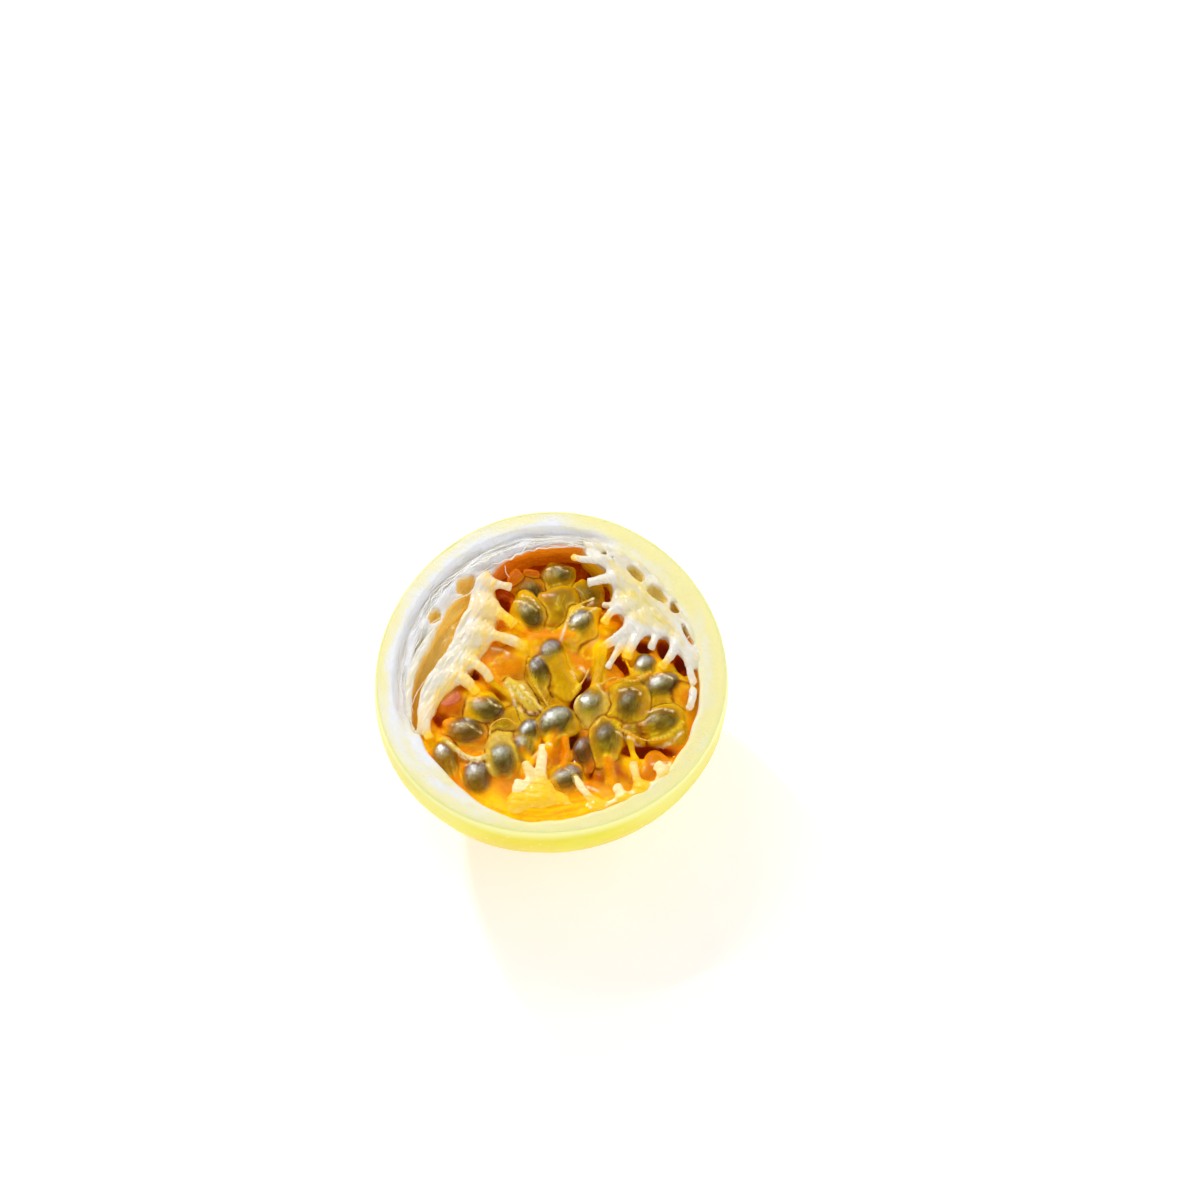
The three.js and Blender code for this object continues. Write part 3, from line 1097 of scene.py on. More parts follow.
@dataclass(frozen=True)
class SeedFinish:
    """Hard, pitted, nearly black seed coat with a glossy coat and a cool silver sheen painted as a
    highlight on its upper, far, left side.
    """

    dark: Colour = (0.030, 0.020, 0.012)
    brown: Colour = (0.085, 0.045, 0.016)
    silver: Colour = (0.72, 0.83, 1.0)

    def material(self) -> Material:
        """The seeds' material.

        Returns:
            The material.
        """
        material, graph = shader(
            "seed_coat", Roughness=0.4, IOR=1.4, Coat_Weight=0.45, Coat_Roughness=0.2,
            Coat_IOR=1.45)
        # painted highlight: silver on the side that faces up, far and left
        frost = (graph.noise(0.9, 4.0, 0.65).eased(0.3, 0.68) * 0.7 + 0.4) * graph.mask("frost")
        base = graph.layered(self.dark, (graph.noise(1.4, 3.0).eased(0.35, 0.7), self.brown),
                             (frost, self.silver))
        graph.dress(Base_Color=base, Normal=graph.bump(graph.cells("SMOOTH_F1", 0.55), 0.09))
        return material


@dataclass(frozen=True)
class FibreFinish:
    """Thin white strands of torn pith and membrane."""

    white: Colour = (0.93, 0.91, 0.86)
    cream: Colour = (0.95, 0.84, 0.5)

    def material(self) -> Material:
        """The strands' material.

        Returns:
            The material.
        """
        material, graph = shader(
            "fibre", Roughness=0.4, Coat_Weight=0.3, Coat_Roughness=0.15, IOR=1.4)
        graph.dress(Base_Color=graph.layered(self.white, (graph.noise(2.0, 2.0) * 0.3, self.cream)))
        return material


# ---- Peel --------------------------------------


@dataclass
class Peel:
    """The skin, and the pith that shows on the cut face and down the cavity wall."""

    around: int = 288
    skin_wall: float = 0.45
    pith_depth: float = 11.5
    pith_step: float = 0.26
    sunken: tuple[float, float, float, float] = (60.0, 78.0, 188.0, 212.0)
    hollows: tuple[tuple[float, ...], ...] = (
        (-17.6, 19.8, 1.75, 2.5, -38.0, 6.0),
        (-24.0, 12.9, 1.45, 1.75, -30.0, 5.0),
        (-27.0, 6.4, 0.85, 2.3, -22.0, 3.0),
        (-26.0, 9.4, 0.5, 0.8, -22.0, 1.6),
    )

    def skin(self) -> Piece:
        """The outer skin: a thin wall beside the pith, and the whole peel below it.

        Returns:
            The skin's object.
        """
        form = FORM
        angle = np.linspace(0.0, 2.0 * math.pi, self.around, endpoint=False)
        lowest = form.height
        rows = [(form.skin_radius(angle, lowest) * (i / 6), -lowest) for i in range(1, 7)]
        flat = math.acos((form.dome_depth - form.flat_cut) / form.dome_depth)
        depths = [form.widest_depth + form.dome_depth * math.cos(turn)
                  for turn in np.linspace(flat, math.pi / 2, 54)[1:]]
        depths += list(np.linspace(form.widest_depth, 0.35, 14)[1:])
        rows += [(form.skin_radius(angle, depth), -depth) for depth in depths]
        lip = (0.05, 0.16), (0.16, 0.07), (0.30, 0.05), (self.skin_wall, 0.09)
        rows += [(form.skin_radius(angle, 0.0) - inset, -drop) for inset, drop in lip]
        rows += [(form.skin_radius(angle, depth) - self.skin_wall, -depth)
                 for depth in np.linspace(0.5, self.pith_depth - 0.8, 8)]
        rows += [(form.cavity_radius(angle, depth), -depth)
                 for depth in np.linspace(self.pith_depth - 0.4, form.cavity_depth - 0.4, 16)]
        piece = mesh_object("peel_skin", *closed_rows(angle, rows, -lowest, -form.cavity_depth))
        self._weather_skin(piece)
        return piece

    def _weather_skin(self, piece: Piece) -> None:
        """Gives the skin its slight unevenness and marks where it nears the cut.

        Args:
            piece: the skin.
        """
        points = local_points(piece)
        height, angle = points[:, 2], angle_of(points)
        sunk = FORM.skin_radius(angle, -height) - np.hypot(*points[:, :2].T)
        soft = smoothstep(1.2, 0.2, sunk) * smoothstep(0.1, 3.0, -height)
        off_floor = smoothstep(0.0, 3.0, height + FORM.height)
        dents = rough_noise(points, 17.0, 3) * 0.16 + rough_noise(points, 4.5, 2, 40.0) * 0.03
        push_along_normals(piece, (dents - 0.12) * soft * off_floor)
        # cut and lip mark where painted bounce light goes: lemon towards the cut, pale near it and,
        # fainter, on the sides away from the front
        sides = 1.0 - smoothstep(0.80, 0.97, np.cos(angle - math.radians(270.0)))
        below = 0.45 * sides * smoothstep(-12.0, -2.0, height)
        paint(piece, cut=smoothstep(-30.0, -2.0, height),
              lip=np.maximum(smoothstep(-5.0, -0.3, height), below))

    def pith(self) -> Piece:
        """The thick pale wall between the skin and the cavity.

        Returns:
            The pith's object.
        """
        reach = FORM.widest_radius * 1.03
        clay = Clay((-reach, -reach, -self.pith_depth - 0.6), (reach, reach, 0.9), self.pith_step)
        x, y, z = clay.grid()
        radius, angle = np.hypot(x, y), np.arctan2(y, x)
        depth = -z
        tuck = 0.35 + 0.85 * smoothstep(0.3, 2.5, depth)
        outer = radius - (FORM.skin_radius(angle, depth) - self.skin_wall * tuck)
        uneven = Ripple(3, 6.0, 0.12).at(x, y)
        inner = FORM.cavity_radius(angle, depth) + uneven - radius
        field = smooth_max(inner, z - self.relief(radius, angle), 0.9)
        field = np.maximum(np.maximum(field, outer), depth - self.pith_depth)
        flat = np.broadcast_arrays(x[:, :, 0], y[:, :, 0])
        slit = outline_distance(STRIP_SLIT, *flat)[:, :, None] + uneven - 0.05 * depth
        field = smooth_max(field, -np.maximum(slit, depth - SLIT_FLOOR), 0.9)
        clay.field = field.astype(np.float32)
        warp = Ripple(4, 3.2, 0.2).at(x, y), Ripple(5, 3.2, 0.2).at(x, y)
        for hx, hy, along, across, turn, deep in self.hollows:
            clay.lump((hx, hy, 0.4), (across, along, deep), turn + 90.0, 0.35, True, warp)
        piece = mesh_object("pith", *clay.skin())
        thin_out(piece, MOST_TRIANGLES)
        self._age_pith(piece)
        return piece

    def _band(self, angle: Array) -> Array:
        """1 along the torn, sunken stretch of the cut face.

        Args:
            angle: direction in radians.

        Returns:
            From 0 to 1.
        """
        a, b, c, d = self.sunken
        turn = np.degrees(angle) % 360.0
        return smoothstep(a, b, turn) * (1.0 - smoothstep(c, d, turn))

    def relief(self, radius: Array, angle: Array) -> Array:
        """Height of the cut face over the cut plane.

        Args:
            radius: distance from the axis.
            angle: direction in radians.

        Returns:
            The height.
        """
        inwards = FORM.skin_radius(angle, 0.0 * angle) - radius
        drop = smoothstep(3.1, 4.6, inwards)
        ridge = np.exp(-((inwards - 6.9) / 0.75) ** 2)
        waver = 0.25 * np.sin(angle * 9.0) + 0.2 * np.sin(angle * 23.0 + 1.0)
        second = np.exp(-((inwards - 5.5 - waver) / 0.35) ** 2)
        torn = -1.5 * drop + 0.9 * ridge + 0.35 * second
        edge = -0.03 * smoothstep(0.9, 0.0, inwards)
        return torn * self._band(angle) + edge - 0.05

    def _age_pith(self, piece: Piece) -> None:
        """Roughens the pith and paints where it is cream, lemon, hollow or stained, and the painted
        shade over its torn band.

        Args:
            piece: the pith.
        """
        points = local_points(piece)
        x, y, z = points.T
        radius, angle = np.hypot(x, y), angle_of(points)
        inwards = FORM.skin_radius(angle, 0.0 * angle) - radius
        # the torn band also carries painted shade in the pith's material
        torn = self._band(angle) * smoothstep(3.0, 4.2, inwards)
        strands = rough_noise(np.stack([radius, angle * 9.0, z * 1.4], axis=1), 1.1, 4)
        dents = rough_noise(points, 5.0, 2) * 0.05
        push_along_normals(piece, strands * (0.03 + 0.22 * torn) + dents)
        right = smoothstep(-0.45, 0.5, np.cos(angle - math.radians(-12.0)))
        low = smoothstep(0.2, 0.95, np.cos(angle - math.radians(270.0))) * 0.35
        cream = np.clip(right * (0.7 + 0.5 * smoothstep(5.4, 2.0, inwards)) + low, 0.0, 1.0)
        cream *= 1.0 - 0.95 * torn
        lemon = 0.75 * smoothstep(3.6, 0.4, inwards) + 0.18 * right
        hollow = smoothstep(-1.0, -3.6, z) * smoothstep(3.4, 5.0, inwards)
        degrees = np.degrees(angle) % 360.0
        bank = np.exp(-((degrees - 158.0) / 56.0) ** 4)
        far = np.exp(-((degrees - 95.0) / 29.0) ** 6)
        amber = smoothstep(-1.4, -2.6, z) * far
        stain = smoothstep(-0.5, -1.5, z) * (1.0 - np.clip(bank + far, 0.0, 1.0))
        mottle = rough_noise(np.stack([inwards * 0.9, angle * 9.0, z], axis=1), 2.2, 4)
        hollow *= np.clip(bank, 0.0, 1.0)
        slit = outline_distance(STRIP_SLIT, x, y)
        paint(piece, cream=cream, lemon=lemon, hollow=hollow, amber=amber, stain=stain,
              mottle=mottle, torn=torn,
              gold=hollow * smoothstep(1.2, 0.2, slit) * slit_gold(points))


def closed_rows(angle: Array, rows: Sequence[tuple[Array, float]], first: float,
                last: float) -> tuple[Array, list[tuple[int, ...]]]:
    """Rings of points closed by a point on the axis at each end.

    Args:
        angle: the directions round each ring.
        rows: radius and height of each ring, from the first pole to the last.
        first: height of the first pole.
        last: height of the last pole.

    Returns:
        The points and the faces, which face outwards.
    """
    count, total = len(angle), len(rows) * len(angle)
    rings = [np.stack([r * np.cos(angle), r * np.sin(angle), h + 0.0 * angle], axis=1)
             for r, h in rows]
    points = np.vstack(rings + [[(0.0, 0.0, first)], [(0.0, 0.0, last)]])
    around = np.arange(count)
    after = (around + 1) % count
    faces: list[tuple[int, ...]] = []
    for a in range(0, total - count, count):
        faces += list(zip(a + around, a + after, a + count + after, a + count + around))
    top = total - count
    faces += [(total, n, m) for m, n in zip(around, after)]
    faces += [(total + 1, top + m, top + n) for m, n in zip(around, after)]
    return points, faces


# ---- Placentas ---------------------------------


@dataclass(frozen=True)
class Finger:
    """A stalk that a seed hung from.

    Args:
        foot: where it leaves the placenta.
        tip: its free end.
        width: its thickness at the tip.
        bend: how far its middle bows to the left of the way it points.
        lift: heights of foot, middle and tip over the cut.
        flare: how much thicker its foot is than its tip.
        juicy: how much yellow juice clings to its tip.
        dyed: how yellow juice has turned all of it.
    """

    foot: tuple[float, float]
    tip: tuple[float, float]
    width: float
    bend: float = 0.0
    lift: tuple[float, float, float] = (-0.8, -0.3, -0.7)
    flare: float = 1.35
    juicy: float = 0.7
    dyed: float = 0.0

    def path(self) -> tuple[Array, Array]:
        """Its middle line and its radius along it.

        Returns:
            The points of the line and the radius at each.
        """
        foot, tip = np.array(self.foot), np.array(self.tip)
        along = (tip - foot) / np.linalg.norm(tip - foot)
        left = np.array([-along[1], along[0]])
        t = np.linspace(0.0, 1.0, 10)[:, None]
        flat = foot + (tip - foot) * t + left * self.bend * 4.0 * t * (1.0 - t)
        a, b, c = self.lift
        height = a * (1 - t) ** 2 + 2 * (2 * b - 0.5 * (a + c)) * t * (1 - t) + c * t**2
        shape = np.interp(t[:, 0], (0.0, 0.3, 0.7, 1.0), (self.flare, 1.0, 0.9, 1.0))
        uneven = 1.0 + 0.07 * np.sin(t[:, 0] * 9.0 + foot[0] * 3.0 + foot[1])
        return np.hstack([flat, height]), self.width / 2 * shape * uneven


@dataclass(frozen=True)
class Ridge:
    """A raised, rounded fold: its line of points, its thickness."""

    line: tuple[tuple[float, float, float], ...]
    width: float = 1.6

    def path(self) -> tuple[Array, Array]:
        """Its middle line and its radius along it.

        Returns:
            The points of the line and the radius at each.
        """
        middle = smooth_curve(self.line, 5)
        taper = np.sin(np.linspace(0.25, math.pi - 0.25, len(middle))) ** 0.4
        return middle, self.width / 2 * taper


@dataclass
class Placenta:
    """A pale ridge of flesh along the cavity wall, with the stalks that grow from it.

    Args:
        name: the piece's name.
        node: the solid it stands for.
        outline: its edges as a closed outline seen from above, running past the wall.
        sink: how far its top lies under the cut.
        fingers: its stalks.
        hollows: ovals cut into it: x, y, half length, half width, turn and depth.
        ridges: folds on its top.
        slit: the outline of a slit behind it, or nothing.
    """

    name: str
    node: str
    outline: Outline
    sink: float
    fingers: Sequence[Finger]
    hollows: Sequence[tuple[float, ...]] = ()
    ridges: Sequence[Ridge] = ()
    slit: Outline = ()
    slit_depth: float = 5.5
    depth: float = 11.0
    step: float = 0.22
    wall_overlap: float = 0.7
    white_side: float = 1.4
    blend: float = 1.7
    yellow_foot: bool = False
    juice_reach: tuple[float, float] = (2.0, 0.3)
    white_beyond: float = 90.0
    fold_heading: float = 62.0
    fold_height: float = 0.10
    white_wall: float = 0.0
    juicy_edge: float = 0.0

    def build(self) -> Piece:
        """The placenta's object.

        Returns:
            The object.
        """
        reach = np.vstack([smooth_curve(self.outline, 6), [finger.tip for finger in self.fingers]])
        limit = FORM.widest_radius
        low = np.maximum(reach.min(axis=0) - 2.5, -limit)
        high = np.minimum(reach.max(axis=0) + 2.5, limit)
        clay = Clay((*low, -self.depth - 0.6), (*high, 1.8), self.step)
        x, y, z = clay.grid()
        uneven = Ripple(21, 4.5, 0.16).at(x, y)
        flat_x, flat_y = np.broadcast_arrays(x[:, :, 0], y[:, :, 0])
        side = outline_distance(self.outline, flat_x, flat_y)[:, :, None] + uneven
        angle, radius = np.arctan2(y, x), np.hypot(x, y)
        wall = radius - (FORM.cavity_radius(angle, -z) + self.wall_overlap)
        crown = 0.45 * np.clip(-side / 3.5, 0.0, 1.0) + Ripple(22, 4.5, 0.12).at(x, y)
        field = smooth_max(side + 0.10 * z, z + self.sink - crown, 1.3)
        field = np.maximum(np.maximum(field, wall), -z - self.depth)
        if len(self.slit):
            gap = outline_distance(self.slit, flat_x, flat_y)[:, :, None]
            gap = np.maximum(gap + uneven * 0.6 - 0.05 * z, -z - self.slit_depth)
            field = smooth_max(field, -gap, 0.6)
        clay.field = field.astype(np.float32)
        for ridge in self.ridges:
            clay.stalk(*ridge.path(), 1.2)
        warp = Ripple(23, 3.0, 0.14).at(x, y), Ripple(24, 3.0, 0.14).at(x, y)
        for hx, hy, along, across, turn, deep in self.hollows:
            clay.lump((hx, hy, 0.5), (along, across, deep), turn, 0.3, True, warp)
        for finger in self.fingers:
            clay.stalk(*finger.path(), self.blend, blunt=True)
        piece = mesh_object(self.name, *clay.skin())
        self._ripen(piece)
        return piece

    def _ripen(self, piece: Piece) -> None:
        """Roughens the flesh and paints its white edges, yellow juice and ochre hollows, and where
        painted light and glow go.

        Args:
            piece: the flesh.
        """
        points = local_points(piece)
        x, y, z = points.T
        along, across = turned(x, y, self.fold_heading)
        folds = rough_noise(np.stack([along * 0.28, across * 1.15, z * 0.8], axis=1), 1.0, 3)
        push_along_normals(piece, rough_noise(points, 1.7, 3) * 0.09 + folds * self.fold_height)
        side = outline_distance(self.outline, x, y)
        shafts, (juice, pale, hollow) = np.full(len(points), FAR), np.zeros((3, len(points)))
        for finger in self.fingers:
            path, radii = finger.path()
            away = np.array([np.linalg.norm(points - spot, axis=1) for spot in path])
            wet = away[0 if self.yellow_foot else -1] / finger.width
            juice = np.maximum(juice, finger.juicy * smoothstep(*self.juice_reach, wet))
            away /= 2.0 * radii[:, None]
            shaft, from_foot = away.min(axis=0), away.argmin(axis=0) / (len(path) - 1)
            shafts = np.minimum(shafts, shaft)
            pale = np.maximum(pale, (1.0 - finger.dyed) * smoothstep(0.1, 0.7, from_foot)
                              * smoothstep(1.3, 0.8, shaft))
            dyed = finger.dyed * (0.3 + 0.7 * from_foot)
            juice = np.maximum(juice, dyed * smoothstep(1.1, 0.6, shaft))
        for ridge in self.ridges:
            for spot in ridge.path()[0]:
                near = np.linalg.norm(points - spot, axis=1) / ridge.width
                shafts = np.minimum(shafts, near)
                pale = np.maximum(pale, smoothstep(1.0, 0.6, near))
        if self.yellow_foot:
            juice = 1.0 - pale
        dripping = self.juicy_edge * smoothstep(-3.2, -0.6, side) * (0.8 + 0.8 * folds)
        juice = np.maximum(juice, dripping)
        for hx, hy, along, across, turn, deep in self.hollows:
            away = ellipsoid_distance(x, y, z, (hx, hy, 0.5), (along, across, deep), turn)
            hollow = np.maximum(hollow, smoothstep(0.9, 0.35, away) * smoothstep(-0.5, -1.6, z))
        # the second value is the hollows' deep gold with its painted glow; the slit's follows below
        edge, seep = smoothstep(-self.white_side, -0.1, side), 0.2 * hollow
        if len(self.slit):
            from_slit = outline_distance(self.slit, x, y)
            edge = np.maximum(0.25 * edge, 1.4 * smoothstep(4.2, 2.4, from_slit))
            behind = smoothstep(0.9, 0.3, from_slit)
            hollow = np.maximum(hollow, behind * smoothstep(-0.8, -3.2, z))
            seep = behind * smoothstep(-0.4, -2.6, z) * (0.25 + 0.75 * slit_gold(points))
        edge = np.maximum(edge, smoothstep(self.white_beyond - 5.0, self.white_beyond, y))
        wall = FORM.cavity_radius(angle_of(points), 0.0 * x) - np.hypot(x, y)
        edge = np.maximum(edge, self.white_wall * smoothstep(2.8, 1.2, wall))
        white = np.clip(0.6 * edge + 0.45 * smoothstep(0.95, 0.55, shafts), 0.0, 1.0)
        below = smoothstep(-1.6, -3.4, z) * smoothstep(0.3, 0.8, side + 0.8)
        # the lit mask is painted light on the floor's pale stalks
        paint(piece, white=white, yellow=np.clip(juice + below, 0.0, 1.0), hollow=hollow,
              grain=folds, lit=pale * self.yellow_foot, seep=seep)


WEDGE_HOLLOWS = (
    (11.6, 25.8, 1.5, 0.75, -22, 3), (17.4, 21.9, 2.3, 1.15, -41, 4),
    (21.9, 17.2, 2.75, 1.2, -45, 4), (25.4, 14.2, 1.5, 0.95, -62, 4), (27.9, 8.3, 2.6, 0.6, -64, 4),
)
WEDGE_OUTLINE = (
    (6.2, 29.6), (7.2, 27), (10, 24.6), (12.4, 21.2), (12.9, 18.4), (13, 15.8), (14.4, 13.2),
    (16.2, 10.8), (19.4, 8.9), (23.2, 8.3), (26.8, 4.6), (31.5, 0.5), (36, 6), (33, 16), (24, 28),
    (13, 34), (6.2, 29.6),
)
WEDGE_RIDGES = (
    Ridge(((7.6, 26.2, -0.6), (10.6, 25, -0.3), (13.2, 21.6, -0.4), (14.6, 19.4, -0.6)), 1.5),
    Ridge(((13, 23.4, -0.5), (16.2, 19.8, -0.4), (21, 15.6, -0.4), (23.8, 12.4, -0.4),
          (26, 9.2, -0.4), (28.2, 4.6, -0.5)), 1.3),
)
WEDGE_FINGERS = (
    Finger((11.4, 24.9), (4.4, 25.6), 1.5, 0.8, (-0.4, 0.5, -0.6), 1.3, 0.8),
    Finger((13, 21), (7.7, 19.9), 2, 0.1, (-0.8, -0.2, -0.5), 1.5, 0),
    Finger((14.6, 14.6), (10.6, 15.4), 1.4, 0, (-1.8, -1.6, -1.6), 1.3, 0.2),
    Finger((15.4, 14.6), (10.9, 10.7), 1.9, -0.8, (-1.1, 0, -0.4), 1.6, 1),
    Finger((17.2, 11.4), (10.4, 5.2), 1.8, 0.3, (-1.5, 0.1, -0.5), 1.8, 1),
    Finger((16.4, 10.4), (11.6, 1.2), 1.4, 0.2, (-1.7, -0.4, -1), 1.7, 0.1),
    Finger((19.2, 10.4), (15.6, 3.2), 2, -0.2, (-1.6, -0.3, -0.8), 1.6, 1),
    Finger((22.2, 9.4), (20.5, 5.4), 1.7, 0, (-1.6, -0.8, -1.2), 1.6, 0.1),
    Finger((26, 8), (22.5, 1.1), 1.95, 0.7, (-1.5, -0.2, -0.9), 1.5, 1),
    Finger((27.6, 5.4), (29.2, -2.4), 1.5, -0.2, (-1.4, -0.7, -0.8), 1.5, 0.2),
    Finger((29, -4.2), (28.2, -8), 1.6, 0.2, (-0.7, -0.2, -0.6), 1, 0.2),
)
STRIP_OUTLINE = (
    (-17.4, 28.5), (-14.2, 25), (-12.8, 21), (-11.8, 17.2), (-10.9, 14), (-11.6, 10.2),
    (-12.8, 6.4), (-15.2, 2.6), (-17.8, -0.8), (-21.6, -4.8), (-24.6, -9.4), (-27.6, -14.8),
    (-32, -13), (-33, 0), (-28, 14), (-22, 25), (-17.4, 28.5),
)
STRIP_SLIT = (
    (-16.3, 17.4), (-17.4, 14), (-19.2, 10.4), (-21, 5.6), (-23.2, 2), (-25.7, -1.8), (-26.9, -6.4),
    (-27, -11), (-27.4, -12.8), (-28.2, -9.9), (-28.4, -4.9), (-27.9, -1.1), (-26.6, 2.9),
    (-25, 5.9), (-22.9, 10.9), (-20.7, 15), (-18, 17.6), (-16.3, 17.4),
)
STRIP_FINGERS = (
    Finger((-13.8, 20.2), (-8.4, 18.9), 1.8, 0, (-1, -0.6, -0.9), 1.9, 0),
    Finger((-13.4, 14.4), (-7.6, 10.4), 2.4, 0.4, (-0.9, -0.2, -0.6), 2, 1, 1),
    Finger((-15, 8.4), (-5.4, 5.4), 2.3, 0.5, (-0.6, 0.4, -0.4), 1.9, 0.9, 0.3),
    Finger((-16.8, 2.2), (-12.4, -1.7), 2.1, 0.6, (-0.6, 0.3, -0.5), 1.3, 0.2),
    Finger((-19.6, -0.8), (-15.3, -4.5), 2.4, 0.5, (-0.7, 0, -0.7), 1.3, 0.9, 0.55),
    Finger((-25.2, -8.6), (-24.6, -14.2), 1.8, -0.5, (-0.7, -0.3, -0.7), 1.3, 0.8, 0.4),
)
FLOOR_OUTLINE = (
    (-25, -19), (-18, -25), (-9, -27), (-4.6, -24.8), (-0.6, -24.4), (3, -26.8), (9, -27.8),
    (16.6, -25), (23, -20), (28.4, -13), (33, -16), (24, -30), (0, -37), (-22, -30), (-25, -19),
)
FLOOR_FINGERS = (
    Finger((-6.8, -28), (-6.2, -23.6), 2.4, 0.2, (-1.5, -1, -0.7), 1.9, 0.2, 0.15),
    Finger((-3.6, -27), (-5, -19.6), 1.9, -0.3, (-1.7, -0.9, -0.6), 2.2, 0.9, 0.6),
    Finger((-1.2, -26.6), (-1.4, -16.2), 2.1, 0.5, (-1.7, -0.5, -0.1), 2.2, 0.9, 0.35),
    Finger((2.6, -27.2), (0.8, -22.8), 1.3, 0.3, (-1.8, -1.4, -1.3), 2, 1, 1),
    Finger((9.8, -28.6), (4.8, -22.4), 1.7, 0.4, (-1.9, -0.9, -0.8), 1.8, 0.4, 0.2),
    Finger((15.4, -28), (13.4, -24.6), 2, 0, (-2, -1.1, -0.9), 1.8, 0.4, 0.1),
    Finger((18.8, -25.2), (16.8, -19.6), 1.8, 0.4, (-2, -0.9, -0.8), 2.2, 1, 0.7),
    Finger((23.6, -22), (21.6, -20.2), 2.2, 0, (-1.5, -0.6, -0.4), 1.2, 0),
)
FLOOR_RIDGES = (
    Ridge(((-15.6, -27.8, -1.6), (-10.2, -29.8, -1.5), (-4.6, -30, -1.4), (1.7, -28.2, -1.2),
          (9.5, -29.2, -0.9), (13.1, -27.6, -0.9), (16.7, -26, -0.9), (20.3, -24.4, -0.9),
          (22.6, -22, -0.9), (24.4, -19.6, -1)), 0.8),
)


PLACENTAS = (
    Placenta("placenta_right_flesh", "placenta_upper_right", WEDGE_OUTLINE, 0.5, WEDGE_FINGERS,
             WEDGE_HOLLOWS, WEDGE_RIDGES, blend=1.4, fold_heading=-53.0, white_wall=1.2),
    Placenta("placenta_left_flesh", "placenta_upper_left", STRIP_OUTLINE, 0.5, STRIP_FINGERS,
             slit=STRIP_SLIT, white_beyond=20.0, juicy_edge=0.45, fold_height=0.07),
    Placenta("placenta_floor_flesh", "placenta_bottom", FLOOR_OUTLINE, 2.2, FLOOR_FINGERS,
             ridges=FLOOR_RIDGES, yellow_foot=True, fold_heading=-5.0),
)


# ---- Pulp --------------------------------------


class Tone(Enum):
    """The colour of a sac's jelly."""

    GOLD = "gold"
    OLIVE = "olive"
    ORANGE = "orange"
    RED = "red"
    PALE = "pale"


GOLD, OLIVE, ORANGE, RED, PALE = Tone


@dataclass(frozen=True)
class Sac:
    """A juice sac: its middle, half length and width, heading in degrees, top's height, tone."""

    x: float
    y: float
    along: float
    across: float
    heading: float
    top: float
    tone: Tone = GOLD

    @property
    def half(self) -> tuple[float, float, float]:
        """Its half length, width and height."""
        return self.along, self.across, 0.3 * self.across + 0.9

    @property
    def centre(self) -> tuple[float, float, float]:
        """Its middle."""
        return self.x, self.y, self.top - self.half[2]

    def distance(self, points: Array) -> Array:
        """Distance of each point from its skin."""
        return ellipsoid_distance(*points.T, self.centre, self.half, self.heading)

    def lengthways(self, points: Array) -> tuple[Array, Array]:
        """Each point's place along and across the sac."""
        return turned(points[:, 0] - self.x, points[:, 1] - self.y, self.heading)


SACS = (
    Sac(-4.9, 20, 4.3, 3.1, -42, -2.8, ORANGE), Sac(-4.7, 14, 4.6, 3.6, -58, -1),
    Sac(1.2, 21.4, 4.4, 3.6, 90, -3.2, OLIVE), Sac(1.8, 15.6, 5, 4.4, 92, -0.9, OLIVE),
    Sac(6.9, 18.4, 3.8, 3.2, -30, -3.2, OLIVE), Sac(6, 10.6, 5.4, 3.9, 58, 0.1),
    Sac(9.6, 6.8, 4.4, 3.4, 62, -0.8, ORANGE), Sac(1.3, 0.2, 6.6, 3.5, -58, 0.6),
    Sac(-2.4, -1.4, 5.2, 2.1, -66, 0.5, OLIVE), Sac(-5.8, -4.8, 5, 2.4, -55, 0.3, PALE),
    Sac(-2.4, 5.6, 3.6, 2.8, -50, -0.1, ORANGE), Sac(-7.6, 2.4, 4.6, 3.6, 20, -0.4, ORANGE),
    Sac(-7.4, 8, 4, 3.2, -20, -1.1, ORANGE), Sac(-13.2, -7.9, 4.4, 3.7, -15, 0.4),
    Sac(-18.8, -6.2, 4.2, 3.2, 30, -0.7, RED), Sac(-17.2, -12.4, 4.8, 2.9, -4, -0.1, ORANGE),
    Sac(-21.3, -18, 4, 3.4, 100, -0.2, ORANGE), Sac(-14.8, -21.8, 4.8, 3, 96, -0.1, ORANGE),
    Sac(-9.8, -16.4, 5.2, 3.7, 84, 0.7, PALE), Sac(-5, -14.6, 4.6, 2.8, 80, -0.1, OLIVE),
    Sac(0.9, -10.8, 4.4, 3.7, 36, 0.7, OLIVE), Sac(8.6, -7.8, 4.8, 3.2, 80, 0.5, PALE),
    Sac(11.3, -14.2, 5.8, 3.4, 86, 0.4, OLIVE), Sac(6.8, -16.8, 4.2, 2.8, 88, -0.3, RED),
    Sac(3, -22.8, 3.9, 3.4, 26, -0.1, ORANGE), Sac(12.6, -21.2, 4.2, 3.4, -40, -0.8, RED),
    Sac(16, -6.6, 4.8, 4.2, 76, 0.5, OLIVE), Sac(22.2, -11, 5.2, 4, 16, 0.3, OLIVE),
    Sac(19, 0.2, 4.4, 3, 84, -0.5), Sac(23.2, -3.2, 4.4, 3.2, 26, -0.1),
    Sac(26.6, -4.6, 3.2, 2.6, -70, -0.3, ORANGE), Sac(17.8, -12.4, 4.8, 3, 8, -0.1, OLIVE),
    Sac(-10.4, -10.8, 3.8, 3, 10, -0.3, OLIVE), Sac(-2.6, -18.4, 3.4, 2.8, 60, -0.8, ORANGE),
    Sac(12.2, 1, 4, 3, 80, -1.2, ORANGE), Sac(-4.6, -7.6, 3.2, 2.6, -30, -0.4),
    Sac(-7.4, 21.8, 1.9, 1.5, 60, -1.3, RED), Sac(-4.2, 23.4, 1.5, 1.2, 0, -1.9, RED),
    Sac(20.6, -20.4, 4.4, 3, 40, -0.9, ORANGE),
)


